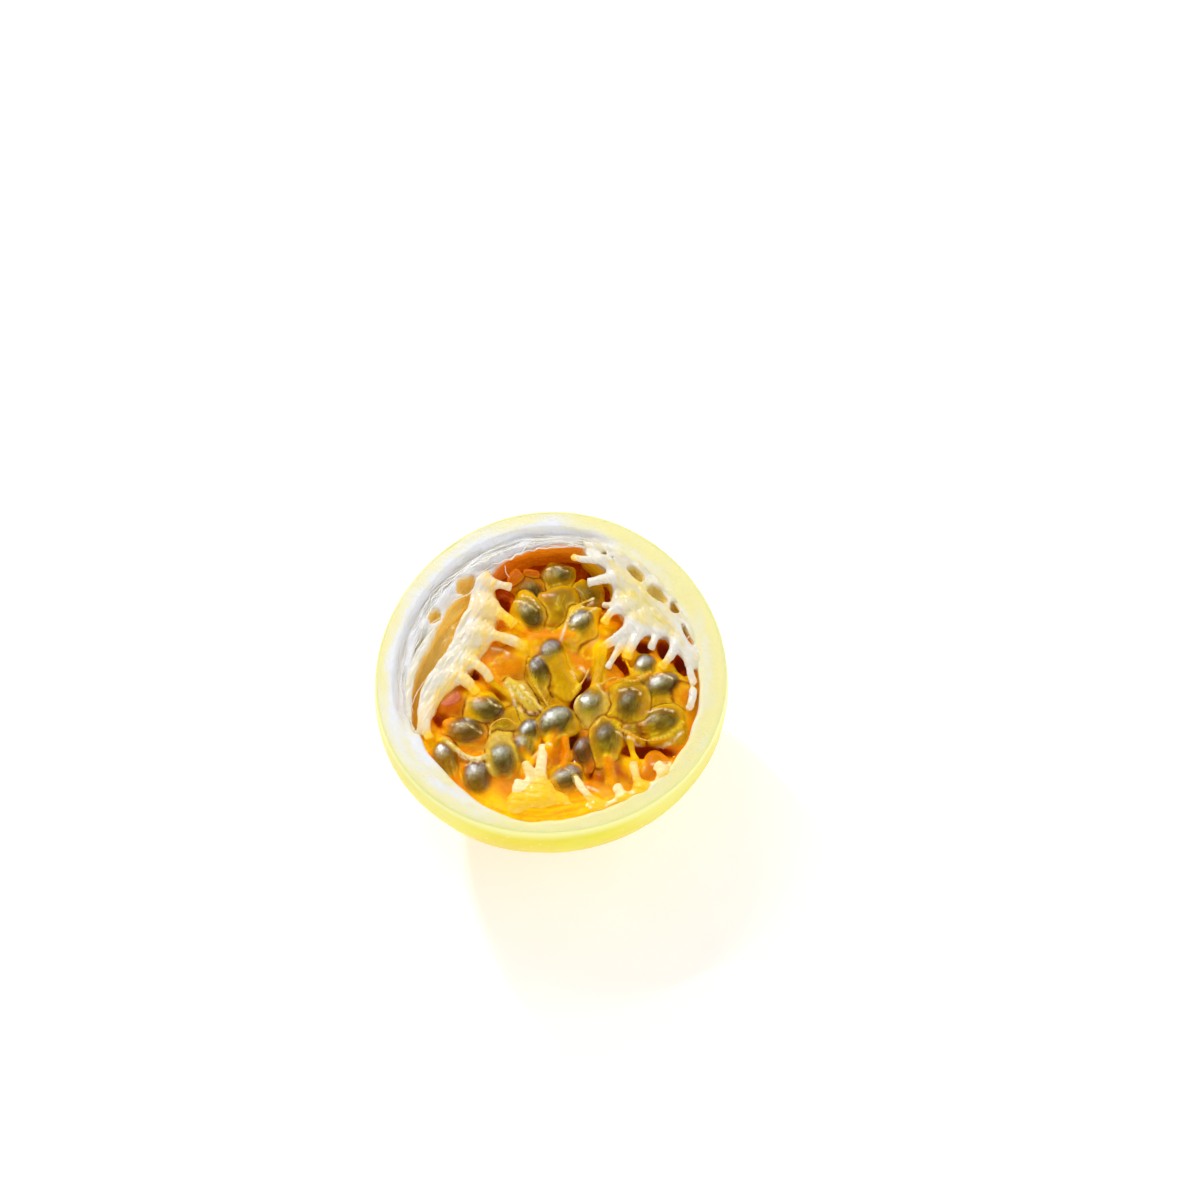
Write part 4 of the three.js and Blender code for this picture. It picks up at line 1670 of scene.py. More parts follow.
@dataclass(frozen=True)
class Pit:
    """A dark gap between sacs: its middle, half length and width, heading, extra depth of juice."""

    x: float
    y: float
    along: float
    across: float
    heading: float
    depth: float

    def share(self, x: Array, y: Array) -> Array:
        """1 at its middle, falling to 0 outside it."""
        along, across = turned(x - self.x, y - self.y, self.heading)
        return np.exp(-((along / self.along) ** 2 + (across / self.across) ** 2) ** 1.5)


PITS = (
    Pit(14.2, 2.6, 3, 2, -60, 3.8), Pit(19, 6, 1.6, 1.2, -30, 3.2),
    Pit(23.6, 5.2, 2.4, 1.4, -60, 3.8), Pit(26.8, 2.2, 2.2, 1.2, -70, 3.6),
    Pit(6.1, -4, 3.8, 1.3, 64, 3.6), Pit(10.2, 18, 2.6, 2, 60, 2.2), Pit(9.6, 23.4, 2.4, 2, 0, 2.2),
    Pit(-10, 16.4, 2, 1.4, 90, 2.2), Pit(-16.2, 0.4, 1.9, 0.9, -40, 2.6),
    Pit(-10, 8.4, 1.6, 0.8, -20, 2.2), Pit(-22.6, -9.4, 2.6, 1.6, -60, 1.8),
    Pit(4.4, -14.2, 2, 1.2, 80, 2.4), Pit(8.8, -21, 2.2, 1.6, 60, 1.6),
    Pit(19.4, -16.6, 5.4, 1.5, -6, 3.4), Pit(-14.6, -12.2, 2.2, 0.9, -30, 1.8),
    Pit(-1.8, -15.6, 1.2, 1.6, 80, 1.6), Pit(-10.8, -4.8, 2, 1, -40, 1.4),
)


@dataclass(frozen=True)
class Thread:
    """Jelly drawn out between two sacs, along a sac's edge or from a stalk's tip."""

    line: tuple[tuple[float, float, float], ...]
    thickness: float = 1.2
    tone: Tone = ORANGE

    def path(self) -> tuple[Array, Array]:
        """Its middle line and its radius along it.

        Returns:
            The points of the line and the radius at each.
        """
        middle = smooth_curve(self.line, 5)
        t = np.linspace(-1.0, 1.0, len(middle))
        return middle, self.thickness / 2 * (1.0 + 0.4 * t * t)


THREADS = (
    Thread(((10.4, 5.2, -0.8), (9.8, 1, -1.2), (9.2, -2.4, -0.9), (8.6, -5, -0.3)), 1.9, GOLD),
    Thread(((15.3, 3, -1), (16.4, 0.4, -1.3), (17.6, -1.4, -0.7)), 0.4),
    Thread(((22.5, 1.1, -1.1), (22.4, -1.6, -0.8)), 1),
    Thread(((12.4, -3.4, -1), (14.8, -1.6, -0.9), (17.6, -0.6, -0.9)), 0.9, GOLD),
    Thread(((-7.2, 10.3, -1), (-4.8, 8.6, -1.1), (-2.4, 7.4, -0.8)), 1.5),
    Thread(((-5.8, 5.8, -0.7), (-2, 7.6, -0.8), (4.6, 8, -0.7)), 1.6),
    Thread(((-12.5, -1.6, -0.8), (-10, -3.8, -0.9), (-7.6, -5.6, -0.8)), 1.1, GOLD),
    Thread(((-15.1, -4.1, -1), (-13.8, -6.6, -0.5)), 1.4),
    Thread(((-0.5, -16.8, 0), (0, -14.8, -0.3), (0.8, -12.8, -0.3)), 1.5),
    Thread(((-4, -19.4, -0.5), (-5.6, -17, -0.6)), 1.2),
    Thread(((3, -14.6, -0.7), (3.4, -17.6, -0.9), (2.6, -20.6, -0.7)), 1.2),
    Thread(((11.4, -18.8, -0.6), (12, -21.4, -1.1), (12.4, -23.8, -1.1)), 1.3),
    Thread(((17.2, -18.8, -0.7), (16.6, -17, -1), (16.2, -14.8, -0.6)), 1.2, GOLD),
    Thread(((12.8, -11.4, -0.1), (16, -13.6, 0), (20, -15, -0.1), (24, -13.8, -0.2),
           (27, -11, -0.4)), 0.4, PALE),
    Thread(((-8.6, -1.4, -0.5), (-6.6, -3.6, 0.1), (-3.8, -6.4, 0.1),
           (-1.8, -8.2, -0.2)), 0.5, PALE),
    Thread(((3.2, 8, -0.3), (3.2, 11.2, -0.2), (5.4, 14.6, -0.5), (8.8, 16.8, -1.7)), 0.4, PALE),
    Thread(((-4.8, 1.2, 0.2), (-3.6, -2.2, 0.5), (-2.2, -4.8, 0.4), (-0.6, -7.4, 0.1)), 0.34, PALE),
    Thread(((7.8, 0.6, -0.3), (6.6, -2, -0.2), (4.9, -4.4, -0.3)), 0.34, PALE),
    Thread(((-12.4, -13.6, 0.1), (-11.8, -11.6, 0.5), (-9.2, -10.4, 0.6),
           (-7, -11.6, 0.2)), 0.36, PALE),
    Thread(((-21.4, -14.8, -0.2), (-18.8, -17.2, 0.1), (-15.6, -19, 0.2),
           (-12.6, -18.2, 0.2)), 0.8, PALE),
    Thread(((10.4, -2.8, 0.1), (13, -1.4, 0.2), (17, -2.2, 0.3), (20.4, -0.2, -0.2)), 0.36, PALE),
)


# Lines over the sacs along which a pale highlight is painted at a membrane's edge.
GLEAM_LINES = (
    ((-20, -11.7), (-18.1, -11.3), (-15.8, -12.1), (-14.2, -13.2)),
    ((-20.8, -15.5), (-18.9, -17), (-17.3, -18.4), (-15.4, -19), (-13.4, -18.8)),
    ((-20.2, -15.9), (-18.3, -17.7), (-16.6, -19), (-14.8, -19.6)),
    ((-15.8, -5.8), (-13.4, -6.1), (-11.7, -7.3), (-10.3, -7.7)),
    ((-9.2, -2.3), (-8, -4.4), (-7.2, -6.9), (-4.9, -8.8), (-2.2, -8.6), (-2.9, -6.5), (-4.9, -4.8),
     (-6.1, -3.1)),
    ((-7.4, -3.4), (-6.2, -5.2), (-4.4, -6.8)), ((-12.3, 5.7), (-10.3, 5.3), (-8.8, 4)),
    ((-7.4, 16), (-5.4, 15.4), (-3.2, 13.8)), ((-5.8, 17.4), (-4, 16.4), (-2.6, 14.6)),
    ((2.1, 7.2), (3, 10.2), (3.9, 11.8), (6.1, 14.2), (8.5, 16.5)),
    ((3.6, 10.5), (4.8, 10.4), (7.3, 12.4), (9.2, 14.5)), ((4.2, 0.5), (4.8, -1.1)),
    ((5.9, 1.4), (6.8, 0.8), (7.5, -0.2)), ((7.9, -0.5), (6.4, -3.8), (4.5, -7.5)),
    ((9.5, -3.1), (11, -4.5), (12.9, -4.8)), ((14, -4.3), (16.6, -3.9), (18.2, -5)),
    ((-3.4, -18.4), (-1.2, -16.1), (0.1, -16.1)),
    ((3.1, -21.2), (5.2, -22.6), (6.5, -24), (9.5, -25.4)),
    ((13.4, -13.3), (17.7, -15.1), (20.3, -15.8), (24.2, -15.1), (26.8, -12.8)),
    ((20.7, -19.8), (24.2, -19.3)), ((19.6, -8.6), (22, -8.2), (24.8, -8.8)),
    ((20.4, -1.2), (22.2, -0.4), (24.8, -1.6)), ((-0.9, 24), (1.2, 24.6), (3.2, 23.6)),
    ((-12.6, -20.4), (-14.8, -19.2), (-17, -20.2)),
)


@dataclass(frozen=True)
class Seed:
    """A seed: its place, heading, how deep its crown lies, tilt, roll, size and painted silver
    sheen.
    """

    x: float
    y: float
    heading: float
    cover: float = 0.4
    tilt: float = 6.0
    roll: float = 0.0
    size: float = 1.0
    frost: float = 0.5

    @property
    def half(self) -> Array:
        """Half its length, width and height."""
        return np.array(SEED_SIZE) / 2 * self.size


SEEDS = (
    Seed(-4.8, 19.8, -42, 0.5, 10, 10, 1, 0.6), Seed(-4.6, 13.8, -60, 0.4, 8, -10, 1.08, 0.7),
    Seed(1, 22.9, 10, 0.5, 6, 0, 1, 0.8), Seed(6.8, 18.3, -20, 0.7, 6, 15, 0.95),
    Seed(5.8, 10.6, 58, 0.35, 10, 0, 0.95, 0.8), Seed(-0.2, 4, 70, 0.4, 8, 0, 0.92),
    Seed(-2.4, 0, 100, 0.35, 6, 10, 0.9, 0.1), Seed(-13.1, -8, -14, 0.35, 6, 8, 0.98, 0.5),
    Seed(-17.2, -12.4, -3, 0.4, 4, 0, 1.05), Seed(-21.3, -18.3, 96, 0.5),
    Seed(-14.8, -22.6, 94, 0.4, 6, 0, 1.05, 0.7), Seed(-9.7, -18.8, 100, 0.3, 5, 10, 1, 0.9),
    Seed(-5.4, -16.2, 82, 0.6, 5, 0, 0.8), Seed(-4.4, -13, 80, 0.4, 10, 0, 0.75),
    Seed(1, -10.8, 36, 0.2, 5, 0, 1.1, 1.2), Seed(8.1, -7.2, 80, 0.35, 8, 0, 0.95, 1.1),
    Seed(11.4, -14.6, 86, 0.45, 5, 0, 1.05, 0.15), Seed(6.8, -16.9, 88, 0.45, 0, 0, 0.85, 0.1),
    Seed(3.1, -22.8, 24, 0.3, 8, 0, 0.98, 1), Seed(11.9, -20, 80, 1.1, 0, 20, 0.9),
    Seed(16, -7.3, 84, 0.4, 6, 0, 0.95, 0.2), Seed(22.5, -10.8, 14, 0.5, 5, 0, 1.02, 0.2),
    Seed(19.2, 1.2, 82, 0.4, 12, 0, 0.82, 0.6), Seed(18.9, -1.9, 76, 0.6, 5, 0, 0.85),
    Seed(22.8, -2.7, 24, 0.25, 6, 0, 1, 0.9), Seed(20.6, -6.3, 12, 0.9, 0, 0, 0.8),
    Seed(4.7, -14.2, 60, 0.6, 0, 0, 0.6), Seed(-18, -6, 40, 1.2, 0, 0, 0.85),
    Seed(-8.2, 3, 30, 1.1, 0, 10, 0.85), Seed(1.6, 15.6, 70, 2.2, 0, 0, 0.9),
    Seed(25.4, -7.2, -70, 1, 0, 0, 0.85),
)


@dataclass
class Pulp:
    """The jelly of sacs and juice, the seeds in it, and the core that lies under it."""

    sacs: Sequence[Sac] = SACS
    pits: Sequence[Pit] = PITS
    threads: Sequence[Thread] = THREADS
    membranes: Sequence[Sequence[tuple[float, float]]] = GLEAM_LINES
    gleam_width: float = 0.5
    seeds: Sequence[Seed] = SEEDS
    keep_out: Outline = ()
    tips: Sequence[tuple[float, float, float, float]] = ()
    step: float = 0.25
    floor: float = -12.0
    crown: float = 1.9
    film: float = 1.5
    wall_overlap: float = 0.5
    seed_bump: float = 0.3
    clearness: float = 0.90

    def still_level(self, y: Array) -> Array:
        """Height of the juice away from any pit."""
        return -(0.4 + 1.1 * smoothstep(-31.0, -22.0, y) + 7.1 * smoothstep(5.0, 28.0, y))

    def level(self, x: Array, y: Array) -> Array:
        """Height of the juice between the sacs."""
        return self.still_level(y) - sum(pit.depth * pit.share(x, y) for pit in self.pits)

    def warp(self, x: Array, y: Array) -> tuple[Array, Array]:
        """Shifts of x and y that make the sacs uneven.

        Args:
            x: x of each place.
            y: y of each place.

        Returns:
            The shifts of x and of y.
        """
        shift_x, shift_y = (Ripple(31 + i, 7.5, 0.6).at(x, y) + Ripple(33 + i, 3.0, 0.1).at(x, y)
                            for i in (0, 1))
        return shift_x, shift_y

    def clay(self) -> tuple[Clay, list[float]]:
        """The jelly as a block of clay, and the height of each seed's middle.

        Returns:
            The clay and the heights.
        """
        reach = FORM.widest_radius
        clay = Clay((-reach, -reach, self.floor), (reach, reach, self.crown), self.step)
        x, y, z = clay.grid()
        flat_x, flat_y = np.broadcast_arrays(x[:, :, 0], y[:, :, 0])
        clay.field = ((z - self.level(flat_x, flat_y)[:, :, None]) * 0.85).astype(np.float32)
        warp = self.warp(x, y)
        for sac in self.sacs:
            clay.lump(sac.centre, sac.half, sac.heading, 0.32, False, warp)
        for thread in self.threads:
            clay.stalk(*thread.path(), 0.9)
        middles = []
        for seed in self.seeds:
            top = clay.height(seed.x, seed.y) + max(self.seed_bump - 0.35 * seed.cover, 0.0)
            middles.append(top - seed.cover - seed.half[2])
            lump = seed.half + np.array((0.9, 0.7, seed.cover))
            clay.lump((seed.x, seed.y, middles[-1]), lump, seed.heading, 0.9)
        angle, radius = np.arctan2(y, x), np.hypot(x, y)
        wall = radius - (FORM.cavity_radius(angle, -z) + self.wall_overlap)
        slit = outline_distance(self.keep_out, flat_x, flat_y)[:, :, None]
        clay.field = np.maximum(np.maximum(clay.field, wall), 0.5 - slit).astype(np.float32)
        clay.field = np.maximum(clay.field, self.floor + 0.5 - z).astype(np.float32)
        return clay, middles

    def build(self) -> tuple[Piece, Piece, list[float]]:
        """The jelly, the core and the height of each seed's middle.

        Returns:
            The two objects and the heights.
        """
        clay, middles = self.clay()
        jelly = mesh_object("juice_jelly", *largest_surface(*clay.skin()))
        thin_out(jelly, MOST_TRIANGLES)
        push_along_normals(jelly, rough_noise(local_points(jelly), 2.4, 2) * 0.05)
        self._colour(jelly, middles)
        core = mesh_object("pulp_core", *clay.skin(-self.film))
        thin_out(core, MOST_TRIANGLES // 2)
        return jelly, core, middles

    def _colour(self, jelly: Piece, middles: Sequence[float]) -> None:
        """Paints the sacs' tones, their bright rims as painted light, the red gaps and the clear
        spots over seeds.

        Args:
            jelly: the jelly's object.
            middles: the height of each seed's middle.
        """
        points = local_points(jelly)
        x, y, z = points.T
        shift = self.warp(x, y)
        bent = np.stack([x + shift[0], y + shift[1], z], axis=1)
        away = np.stack([sac.distance(bent) for sac in self.sacs])
        nearest, (first, second) = away.argmin(axis=0), np.sort(away, axis=0)[:2]
        gap, between = smoothstep(0.25, 1.1, first), second - first
        weight = np.exp(-np.maximum(away, 0.0) / 0.45)
        share = weight / weight.sum(axis=0)
        tone, beads = {kind: 0.0 * x for kind in Tone}, {kind: 0.0 * x for kind in Tone}
        for sac, part in zip(self.sacs, share):
            tone[sac.tone] = tone[sac.tone] + part
        for thread in self.threads:
            line, radii = thread.path()
            near = np.min([np.linalg.norm(points - spot, axis=1) for spot in line], axis=0)
            cover = smoothstep(radii.mean() * 1.9, radii.mean() * 1.1, near)
            beads[thread.tone] = np.maximum(beads[thread.tone], cover)
        bead = np.max(list(beads.values()), axis=0)
        along, across, inner = np.zeros((3, len(points)))
        for i, sac in enumerate(self.sacs):
            mine = nearest == i
            along[mine], across[mine] = sac.lengthways(bent[mine])
            reach = np.hypot(along[mine] / sac.along, across[mine] / sac.across)
            inner[mine] = 1.0 - smoothstep(0.35, 0.95, reach)
        grain = rough_noise(np.stack([along * 0.22, across * 1.5, nearest * 3.0], axis=1), 1.0, 2)
        # where two sacs meet; the dark colour laid along it is painted shade
        crease = np.exp(-(between / 0.22) ** 2) * smoothstep(0.8, 0.2, first)
        # the bright rims are painted light along the sacs' glassy edges; inner darkens their
        # middles towards olive
        rim = np.exp(-((between - 0.6) / 0.3) ** 2) * smoothstep(0.5, 0.1, first) * 0.7
        rim = np.maximum(rim, np.exp(-((first - 0.3) / 0.2) ** 2) * 0.7)
        depth = self.still_level(y) - z
        deep, upper = smoothstep(0.2, 1.5, depth), smoothstep(-3.0, -7.0, z)
        solid = (1.0 - gap) * (1.0 - bead)
        turn = angle_of(points)
        wall = FORM.cavity_radius(turn, -z) - np.hypot(x, y)
        low = smoothstep(0.80, 0.94, np.cos(turn - math.radians(268.0)))
        lines = rough_noise(np.stack([wall * 1.5, turn * 5.0, 0.0 * z], axis=1), 1.0, 3)
        thin = smoothstep(6.0, 1.5, wall) * low * smoothstep(-3.0, -1.2, z) * (0.85 + 0.9 * lines)
        for tip_x, tip_y, tip_z, juicy in self.tips:
            near = np.linalg.norm(points - (tip_x, tip_y, tip_z - 0.6), axis=1)
            thin = np.maximum(thin, juicy * smoothstep(3.4, 1.0, near) * (1.0 + 0.5 * grain))
        # the painted highlight lines along membrane edges, kept near the surface
        membrane = self._gleam(points) * smoothstep(2.2, 1.2, depth)
        dull = tone[OLIVE] * (0.35 + 0.65 * inner) + (tone[GOLD] + tone[PALE]) * 0.3 * inner
        hot = tone[ORANGE] + tone[RED]
        warm = hot * solid + (gap + 0.4 * crease) * (1.0 - bead) + beads[ORANGE]
        ruddy = (0.25 * hot * inner + 0.5 * tone[RED]) * solid
        # red grows in the gaps with depth and low in the far chamber, dark in the deepest gaps:
        # partly the thicker juice's colour, partly painted shade; red along creases is painted
        # shade
        red = (deep + 0.8 * upper) * gap + 0.3 * crease + ruddy
        clear, mist = self._over_seeds(points, middles)
        paint(jelly, olive=dull * solid + beads[OLIVE],
              pale=np.clip(tone[PALE] * solid + beads[PALE], 0.0, 1.0),
              orange=np.clip(warm, 0.0, 1.0), rim=rim * (1.0 - deep) * (1.0 - crease),
              red=np.clip(red * (1.0 - bead), 0.0, 1.0), thin=thin, grain=grain,
              along=along, across=across + nearest * 5.0,
              dark=smoothstep(1.2, 2.6, depth) * gap * (1.0 - bead),
              clear=np.maximum(clear, 0.15 * inner * solid * (1.0 - hot)),
              seam=crease * (1.0 - bead), mist=mist, membrane=membrane)
        push_along_normals(jelly, 0.10 * membrane)

    def _over_seeds(self, points: Array, middles: Sequence[float]) -> tuple[Array, Array]:
        """How clear the jelly is over the seeds, and how silvery beyond their crowns, a painted
        highlight on their far, left side.

        Args:
            points: the points.
            middles: the height of each seed's middle.

        Returns:
            The two masks.
        """
        clear, mist = np.zeros((2, len(points)))
        for seed, middle in zip(self.seeds, middles):
            away = ellipsoid_distance(*points.T, (seed.x, seed.y, middle), seed.half, seed.heading,
                                      seed.tilt)
            clear = np.maximum(clear, 1.0 - smoothstep(0.45, 1.35, away))
            # the silvery side is a painted highlight, placed where the key lamp's reflection falls
            upper = 0.89 * (points[:, 1] - seed.y) - 0.45 * (points[:, 0] - seed.x)
            upper /= seed.half[1]
            silver = (0.4 + 0.75 * seed.frost) * smoothstep(0.25 - 0.6 * seed.frost, 0.85, upper)
            mist = np.maximum(mist, smoothstep(1.0, 0.3, away) * silver)
        return clear * self.clearness, mist

    def _gleam(self, points: Array) -> Array:
        """1 along the membrane edges over the sacs, painted as pale highlight lines."""
        near = np.min([nearest_spot(points, smooth_curve(line)) for line in self.membranes], axis=0)
        return smoothstep(self.gleam_width, 0.3 * self.gleam_width, near)


@dataclass
class Seeds:
    """The seeds, each the usual seed turned and sized in its own way."""

    middles: Sequence[float]
    places: Sequence[Seed] = SEEDS
    size_jitter: float = 0.04

    def usual(self) -> bpy.types.Mesh:
        """One flattened, slightly pointed and pitted seed.

        Returns:
            Its mesh.
        """
        shape = bmesh.new()
        bmesh.ops.create_icosphere(shape, subdivisions=4, radius=1.0)
        for vertex in shape.verts:
            x, y, z = vertex.co
            pinch = 1.0 - 0.22 * max(x, 0.0) ** 2 + 0.05 * x
            pits = 0.035 * abs(noise.noise(Vector((x * 4.0, y * 4.0, z * 4.0))))
            long, wide, high = SEED_SIZE
            place = Vector((long * x, wide * y * pinch, high * z * pinch)) * 0.5
            vertex.co = place * (1.0 - pits) * MM
        mesh = bpy.data.meshes.new("usual_seed")
        shape.to_mesh(mesh)
        shape.free()
        smooth(mesh)
        return mesh

    def build(self, material: Material) -> Piece:
        """Sets the usual seed at every place with Geometry Nodes.

        Args:
            material: what the seeds are made of.

        Returns:
            The seeds as one plain mesh.
        """
        pattern = bpy.data.objects.new("usual_seed", self.usual())
        holder = mesh_object("seeds", [(s.x, s.y, z) for s, z in zip(self.places, self.middles)])
        turns = np.radians([(s.roll, -s.tilt, s.heading) for s in self.places])
        sizes = np.array([(s.size,) * 3 for s in self.places])
        for name, rows in (("turn", turns), ("size", sizes)):
            layer = holder.data.attributes.new(name, "FLOAT_VECTOR", "POINT")
            layer.data.foreach_set("vector", rows.astype(np.float32).ravel())
        piece = run_tree(holder, scatter_tree(self.size_jitter),
                         {"Pattern": pattern, "Material": material, "Seed": 7})
        away = local_points(piece).reshape(len(self.places), -1, 3)
        away = away - away.mean(axis=1, keepdims=True)
        # the silver is a painted highlight on the side facing up, far and left, towards the lamps
        upper = (0.75 * away[..., 1] - 0.4 * away[..., 0] + 0.8 * away[..., 2]) / (SEED_SIZE[1] / 2)
        silver = np.array([[seed.frost] for seed in self.places])
        frost = silver * smoothstep(0.4 - 0.4 * silver, 0.8, upper)
        paint(piece, frost=frost.ravel())
        return piece


def new_tree(name: str, **inputs: str) -> tuple[Graph, Node]:
    """Starts a Geometry Nodes tree that takes and gives geometry.

    Args:
        name: the tree's name.
        inputs: the kind of each further input.

    Returns:
        Its graph and the node that gives its inputs.
    """
    tree = bpy.data.node_groups.new(name, "GeometryNodeTree")
    for key, kind in {"Geometry": "Geometry", **inputs}.items():
        tree.interface.new_socket(key, in_out="INPUT", socket_type="NodeSocket" + kind)
    tree.interface.new_socket("Geometry", in_out="OUTPUT", socket_type="NodeSocketGeometry")
    graph = Graph(tree)
    return graph, graph.node("NodeGroupInput")


def end_tree(graph: Graph, geometry: Node, material: bpy.types.NodeSocket) -> Tree:
    """Ends a tree with its instances realized and its material set, and gives the tree.

    Args:
        graph: the tree's graph.
        geometry: the node whose geometry it ends with.
        material: the socket that gives the material.

    Returns:
        The tree.
    """
    real = graph.node("GeometryNodeRealizeInstances", {"Geometry": geometry})
    dressed = graph.node("GeometryNodeSetMaterial", {"Geometry": real, "Material": material})
    graph.node("NodeGroupOutput", {"Geometry": dressed})
    return graph.tree


def scatter_tree(jitter: float) -> Tree:
    """A tree that sets a pattern at every point, turned and sized as the point says.

    Args:
        jitter: how far sizes vary at random, as a share.

    Returns:
        The tree.
    """
    graph, given = new_tree("seed_scatter", Pattern="Object", Material="Material", Seed="Int")
    pattern = graph.node("GeometryNodeObjectInfo", {"Object": given.outputs["Pattern"]})
    chance = graph.node("FunctionNodeRandomValue", {
        "Min": (1.0 - jitter,) * 3, "Max": (1.0 + jitter,) * 3, "Seed": given.outputs["Seed"]},
        data_type="FLOAT_VECTOR")
    size = graph.node("ShaderNodeVectorMath", {0: graph.stored("size", "FLOAT_VECTOR"), 1: chance},
                      operation="MULTIPLY")
    turn = graph.node("FunctionNodeEulerToRotation", {
        "Euler": graph.stored("turn", "FLOAT_VECTOR")})
    placed = graph.node("GeometryNodeInstanceOnPoints", {
        "Points": given.outputs["Geometry"], "Instance": pattern.outputs["Geometry"],
        "Rotation": turn, "Scale": size})
    return end_tree(graph, placed, given.outputs["Material"])


def strand_tree() -> Tree:
    """A tree that turns each line of a mesh into a tube as thick as its points say.

    Returns:
        The tree.
    """
    graph, given = new_tree("strand_tubes", Sides="Int", Material="Material")
    line = graph.node("GeometryNodeMeshToCurve", {"Mesh": given.outputs["Geometry"]})
    section = graph.node("GeometryNodeCurvePrimitiveCircle", {
        "Resolution": given.outputs["Sides"], "Radius": MM})
    tube = graph.node("GeometryNodeCurveToMesh", {
        "Curve": line, "Profile Curve": section, "Scale": graph.stored("thickness", "FLOAT"),
        "Fill Caps": True})
    return end_tree(graph, tube, given.outputs["Material"])


def run_tree(holder: Piece, tree: Tree,
             inputs: dict[str, Any]) -> Piece:
    """Runs a tree on an object and keeps the result as its plain mesh.

    Args:
        holder: the object whose mesh the tree starts from.
        tree: the tree.
        inputs: a value for each named input.

    Returns:
        The same object with its finished mesh and no modifier.
    """
    modifier = holder.modifiers.new("maker", "NODES")
    modifier.node_group = tree
    for item in tree.interface.items_tree:
        if item.in_out == "INPUT" and item.name in inputs:
            modifier[item.identifier] = inputs[item.name]
    return baked(holder, modifier)


# ---- Strands -----------------------------------


@dataclass
class Strands:
    """Thin white threads of torn pith, and the edges of membranes over the sacs."""

    peel: Peel
    count: int = 60
    seed: int = 11
    thickness: float = 0.17
    membranes: Sequence[tuple[Sequence[float], ...]] = (
        ((-20.6, 15.6, -0.6), (-18.4, 16.6, -0.5), (-16.4, 17.8, -0.5), (-15.2, 20.6, -0.4)),
        ((-25.6, 9.8, -0.7), (-24.6, 10.8, -0.6), (-22.6, 12.2, -0.6)),
        ((23.9, 14.6, -0.2), (24.2, 15.6, -0.2), (24.6, 16.8, -0.3)),
        ((26.4, 9.4, -0.4), (27.4, 10.4, -0.3), (28.4, 11.2, -0.4)),
        ((27.6, 7.0, -0.4), (28.6, 8.0, -0.3), (29.4, 8.4, -0.4)),
        ((-25.7, -1.6, -0.6), (-27.4, -4.6, -0.6), (-28.4, -7.6, -0.6)),
        ((-9.6, 24.0, -1.0), (-9.4, 22.4, -1.2), (-8.6, 21.2, -1.5)),
        ((7, -29.9, -0.8), (10.1, -29.4, -0.8), (14.1, -28.3, -0.9), (18.2, -26.4, -0.9),
         (21.3, -23.7, -0.9), (23.1, -21.2, -1)),
    )
    arcs: Sequence[tuple[Sequence[float], ...]] = (
        ((8.6, 29.4), (2.9, 29.4), (-2.7, 29.5), (-5.4, 28.9), (-8.2, 27.8), (-11, 26.6),
         (-13.8, 24.9), (-16.5, 23.4), (-19.3, 21.5), (-21.5, 19.6), (-23.2, 17.6), (-24.8, 15.6),
         (-26.4, 12.8)),
        ((6.2, 27.8), (2.9, 28), (-2.7, 27.6), (-5.4, 26.9), (-8.2, 26), (-11, 24.6),
         (-12.6, 23.8), (-15.4, 21.8)),
        ((-3.4, 29.0), (-4.6, 28.1), (-6.6, 26.9), (-8.7, 25.4)),
        ((-10.0, 27.0), (-14.4, 25.4), (-18.6, 22.9), (-22.0, 20.4), (-25.4, 16.4), (-28.2, 10.6)),
    )

    def paths(self) -> tuple[list[Array], list[float]]:
        """The middle line and thickness of each strand.

        Returns:
            The lines and their thicknesses.
        """
        chance = np.random.default_rng(self.seed)
        paths, widths = [], []
        for _ in range(self.count):
            start = math.radians(chance.uniform(64.0, 178.0))
            span = math.radians(chance.uniform(10.0, 34.0))
            angle = start + np.linspace(0.0, span, 18)
            inwards = chance.uniform(4.0, 7.2)
            inwards += 0.35 * np.sin(angle * chance.uniform(8, 20) + start)
            inwards += chance.uniform(-0.9, 0.9) * np.linspace(-0.5, 0.5, 18)
            radius = FORM.skin_radius(angle, 0.0 * angle) - inwards
            paths.append(self._laid(radius * np.cos(angle), radius * np.sin(angle), 0.05))
            widths.append(self.thickness * chance.uniform(0.6, 1.5))
        for membrane in self.membranes:
            paths.append(smooth_curve(membrane))
            widths.append(self.thickness * 0.9)
        for arc in self.arcs:
            x, y = smooth_curve(arc, 6).T
            waver = Ripple(41, 1.6, 0.22).at(x, y)
            paths.append(self._laid(x * (1.0 + waver / 30.0), y * (1.0 + waver / 30.0), 0.12))
            widths.append(self.thickness * 2.0)
        return paths, widths

    def _laid(self, x: Array, y: Array, lift: float) -> Array:
        """A line laid on the cut face, a little above it."""
        return np.stack([x, y, self.peel.relief(np.hypot(x, y), np.arctan2(y, x)) + lift], axis=1)

    def build(self, material: Material) -> Piece:
        """Draws every strand as a thin tube with Geometry Nodes.

        Args:
            material: what the strands are made of.

        Returns:
            The strands as one plain mesh.
        """
        points, edges, widths = [], [], []
        for path, width in zip(*self.paths()):
            first = sum(len(part) for part in points)
            points.append(path)
            edges += [(first + i, first + i + 1) for i in range(len(path) - 1)]
            widths.append(width * np.sin(np.linspace(0.12, math.pi - 0.12, len(path))) ** 0.5)
        holder = mesh_object("strands", np.vstack(points), edges=edges)
        paint(holder, thickness=np.concatenate(widths) * 0.5)
        return run_tree(holder, strand_tree(), {"Material": material, "Sides": 6})


# ---- Studio ------------------------------------


